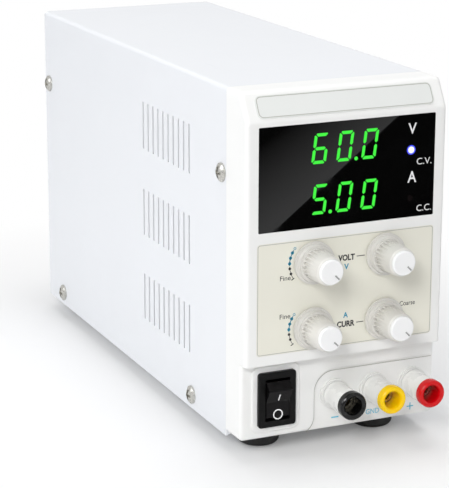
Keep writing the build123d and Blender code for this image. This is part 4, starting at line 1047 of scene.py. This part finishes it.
# %% Chips
def chip(centre, size):
    """A block whose top edges are drawn in, as moulded chips are."""
    x, y, z = (s / 2 for s in size)
    base = [(-x, -y, 0), (x, -y, 0), (x, y, 0), (-x, y, 0)]
    waist = [(a * 1.04, b * 1.04, z) for a, b, _ in base]
    top = [(a * 0.94, b * 0.94, 2 * z) for a, b, _ in base]
    vertices = [centre + Vector(p) for p in base + waist + top]
    faces = [[3, 2, 1, 0], [8, 9, 10, 11]]
    for row in (0, 4):
        faces += [[row + i, row + (i + 1) % 4, row + 4 + (i + 1) % 4, row + 4 + i]
                  for i in range(4)]
    return vertices, faces


CHIPS = [(0.0, 14.0, 9.5, 6.5, 3.2), (0.0, 37.5, 6.5, 4.5, 2.0), (-9.5, 38.5, 4.5, 3.0, 1.8)]
gather("board_chips", [chip(on_board(x, back, 0.2), [side * MM for side in size])
                       for x, back, *size in CHIPS], epoxy_black)
print("chips on the main board", len(CHIPS))

# %% [markdown]
# ## Tops of the cans
#
# A large capacitor has a bare aluminium top. The sleeve folds over the rim, so the disc that
# shows is a little smaller than the can, and its outer edge stands above its middle.

# %% Can tops
can_metal = plated("can_top_metal", (0.70, 0.71, 0.72), 0.35)
can_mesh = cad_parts["capacitors"].data
can_labels, can_count = islands(can_mesh)
can_corners = {}
for polygon, label in zip(can_mesh.polygons, can_labels):
    corners = [can_mesh.vertices[i].co for i in polygon.vertices]
    can_corners.setdefault(label, []).extend(corners)


def can_top(corners):
    left, right = min(c.x for c in corners), max(c.x for c in corners)
    front, back = min(c.y for c in corners), max(c.y for c in corners)
    radius = (right - left) / 2
    profile = [(0.0, radius * 0.86), (0.12 * MM, radius * 0.86), (0.12 * MM, radius * 0.80),
               (0.02 * MM, radius * 0.78)]
    centre = Vector(((left + right) / 2, (front + back) / 2, max(c.z for c in corners)))
    return turned_profile(profile, centre, "Z", 32)


gather("capacitor_tops", [can_top(corners) for corners in can_corners.values()], can_metal)
print("capacitor cans", can_count)

# %% [markdown]
# ## Fan hub disc
#
# The hub of a fan carries a round foil. It is left bare but for a printed ring, and rides
# on the turning wheel.

# %% Hub foil
hub_foil = foil("fan_hub_foil", (0.55, 0.56, 0.57), 0.3)
HUB_RADIUS, HUB_RING, HUB_LINE, FOIL_THICK = 10.5 * MM, 9.0 * MM, 0.5 * MM, 0.05 * MM
hub_y, hub_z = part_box("fan_rotor")[1].y, middle_of("fan_frame").z
plates("fan_hub_disc", [dot(0.0, 0.0, HUB_RADIUS, 48)], facing_rear(hub_y, 0.0, hub_z), hub_foil,
       "fan_wheel", FOIL_THICK)
plates("fan_hub_ring", ring(0.0, 0.0, HUB_RING, HUB_LINE, count=60),
       facing_rear(hub_y + FOIL_THICK, 0.0, hub_z), ink_black, "fan_wheel")
print("hub foil", round(2 * HUB_RADIUS / MM, 1), "mm across")

# %% [markdown]
# ## Studio
#
# The object stands on a white table. Away from the object the table fades to pure white for
# the camera only, so the picture has a white ground and still a soft shadow under the case.
# The table ends in front, past a slanting edge that the camera never sees: the dark window
# mirrors that edge, with the bright table on one side of it and the dark room on the other. In
# mirrors alone the table fades to black away from that edge, as light from one side does.

# %% Finish of the table
WHITE, BLACK = (1.0, 1.0, 1.0), (0.0, 0.0, 0.0)
FOOT_HALF_X, FOOT_HALF_Y, FOOT_Y = 0.040, 0.100, 0.012   # the shadow's ground under the case
FADE_SPAN = 0.2
LIFT_NEAR, LIFT_FAR = 0.10, 0.90
table = Finish("studio_floor", (0.86, 0.86, 0.86), 0.8, Specular_IOR_Level=0.1)
patches = table.noise(400.0, 2.0)
table.to("Base Color", table.mix(patches, (0.855, 0.855, 0.855), (0.865, 0.865, 0.865)))
table_x, table_y = table.axis("X"), table.axis("Y")
beside = table.math_of("ABSOLUTE", table_x) - FOOT_HALF_X
beyond = table.math_of("ABSOLUTE", table_y - FOOT_Y) - FOOT_HALF_Y
beside = table.math_of("MAXIMUM", beside, 0.0)
beyond = table.math_of("MAXIMUM", beyond, 0.0)
away = table.math_of("SQRT", beside * beside + beyond * beyond)
fade = table.ramp(away * (1.0 / FADE_SPAN), 0.05, 0.75)
camera_ray = table.node("ShaderNodeLightPath", out="Is Camera Ray")
paper_white = table.node("ShaderNodeEmission", None, {"Color": WHITE, "Strength": 1.0})
lit_table = Wire(table, table.shader.outputs[0])
table_look = table.mix_shaders(camera_ray * (LIFT_NEAR + LIFT_FAR * fade), lit_table, paper_white)

# %% [markdown]
# The distance from the slanting edge is measured square to it, from its near end. It drives
# the fade to black that only mirrors see, and only on the part of the table in front.

# %% Edge of the table and its fade in mirrors
FAR = 6.0
TABLE_BACK, TABLE_FRONT = 0.8 * FAR, -0.24
EDGE_NEAR, EDGE_FAR = (-0.023, TABLE_FRONT), (4.289, -5.2)
SHEEN_WIDE = 0.065
DARK_FROM, DARK_FULL = 0.28, 0.36
edge_run = Vector((EDGE_FAR[0] - EDGE_NEAR[0], EDGE_FAR[1] - EDGE_NEAR[1], 0.0)).normalized()
from_edge = (table_x - EDGE_NEAR[0]) * edge_run.y - (table_y - EDGE_NEAR[1]) * edge_run.x
unlit = table.ramp(from_edge * (1.0 / SHEEN_WIDE), 0.0, 1.0)
in_front = table.ramp(-1.0 * table_y, DARK_FROM, DARK_FULL)
mirrored_ray = table.node("ShaderNodeLightPath", out="Is Glossy Ray")
dark = table.node("ShaderNodeEmission", None, {"Color": BLACK, "Strength": 0.0})
table_look = table.mix_shaders(mirrored_ray * unlit * in_front, table_look, dark)
table.feed(table.tree.nodes["Material Output"].inputs["Surface"], table_look)
floor_mesh = bpy.data.meshes.new("studio_floor")
floor_mesh.from_pydata(
    [(-FAR, -FAR, 0), (EDGE_FAR[0], -FAR, 0), (*EDGE_FAR, 0), (*EDGE_NEAR, 0),
     (FAR, TABLE_FRONT, 0), (FAR, TABLE_BACK, 0), (-FAR, TABLE_BACK, 0)],
    [], [[0, 1, 2, 3, 6], [3, 4, 5, 6]])
floor_mesh.materials.append(table.material)
floor = bpy.data.objects.new("studio_floor", floor_mesh)
bpy.context.scene.collection.objects.link(floor)
print("table edge", round(math.degrees(math.atan2(-edge_run.y, edge_run.x)), 1), "degrees aslant")

# %% [markdown]
# The world lights everything evenly from all sides. To the camera it is white. In reflections
# it is bright above the horizon and dark below it, so metal and gloss get a clear edge.

# %% World
SKY_COLOUR, SKY_LIGHT = (0.98, 0.985, 1.0), 0.50
MIRROR_LIGHT, HORIZON = 0.8, -0.02
world = bpy.data.worlds.new("studio")
bpy.context.scene.world = world
world.use_nodes = True
sky = Graph(world.node_tree)


def background(colour, strength):
    return sky.node("ShaderNodeBackground", None, {"Color": colour, "Strength": strength})


upward = sky.part_of(sky.node("ShaderNodeTexCoord", out="Generated"), "Z").above(HORIZON)
mirrored = sky.mix_shaders(upward, background(BLACK, 0.0), background(WHITE, MIRROR_LIGHT))
glossy_ray = sky.node("ShaderNodeLightPath", out="Is Glossy Ray")
sky_look = sky.mix_shaders(glossy_ray, background(SKY_COLOUR, SKY_LIGHT), mirrored)
camera_ray = sky.node("ShaderNodeLightPath", out="Is Camera Ray")
sky_look = sky.mix_shaders(camera_ray, sky_look, background(WHITE, 1.0))
sky.feed(sky.tree.nodes["World Output"].inputs["Surface"], sky_look)
print("world light", SKY_LIGHT)

# %% [markdown]
# Area lamps are aimed by pointing their -Z at a target. Their power is set so that a white of
# 0.86 renders just under full white on the front. A large lamp overhead gives the shadow on
# the table, one at the left front shapes knobs and posts, and one at the left lights the side.

# %% Lamps
def soft_lamp(name, place, target, size, power, colour=(1.0, 1.0, 1.0)):
    light = bpy.data.lights.new(name, "AREA")
    light.shape = "DISK"
    light.size = size
    light.energy = power
    light.color = colour
    holder = bpy.data.objects.new(name, light)
    bpy.context.scene.collection.objects.link(holder)
    holder.location = place
    aim = Vector(target) - Vector(place)
    holder.rotation_mode = "QUATERNION"
    holder.rotation_quaternion = aim.to_track_quat("-Z", "Y")


MIDDLE = (0.0, -0.02, 0.07)
soft_lamp("overhead", (0.05, 0.05, 1.2), MIDDLE, 0.7, 4.9)
soft_lamp("left_front", (-0.75, -0.95, 0.75), MIDDLE, 0.45, 8.0)
soft_lamp("left_side", (-1.3, 0.3, 0.75), MIDDLE, 0.7, 4.3, (0.95, 0.97, 1.0))
print("lamps", [light.name for light in bpy.data.lights])

# %% [markdown]
# ## Camera
#
# The view was fitted to the straight edges of the case: the camera stands to the left of the
# front, a little above it, and looks down by about 15 degrees. The small shift puts the frame
# where the picture has it.

# %% Camera
CAMERA_LEFT, CAMERA_BEFORE, CAMERA_UP = 0.3080, 0.5970, 0.2603
LOOK_DOWN, ROLL, LOOK_RIGHT = 0.257, 0.001, 0.417
camera_data = bpy.data.cameras.new("picture_camera")
camera_data.sensor_width = 36.0
camera_data.lens = 139.16
camera_data.shift_x = 0.0141
camera_data.shift_y = -0.0476
camera_data.clip_start = 0.01
camera_data.clip_end = 50.0
camera = bpy.data.objects.new("picture_camera", camera_data)
bpy.context.scene.collection.objects.link(camera)
cover_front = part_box("top_cover")[0].y
camera.location = (-CAMERA_LEFT, cover_front - CAMERA_BEFORE, CAMERA_UP)
camera.rotation_euler = (math.pi / 2 - LOOK_DOWN, -ROLL, -LOOK_RIGHT)
bpy.context.scene.camera = camera
print("camera looks down", round(math.degrees(LOOK_DOWN), 1), "degrees")

# %% [markdown]
# ## Finish
#
# The picture shows colours as written, so the plain view transform is set.

# %% View settings
bpy.context.scene.view_settings.view_transform = "Standard"
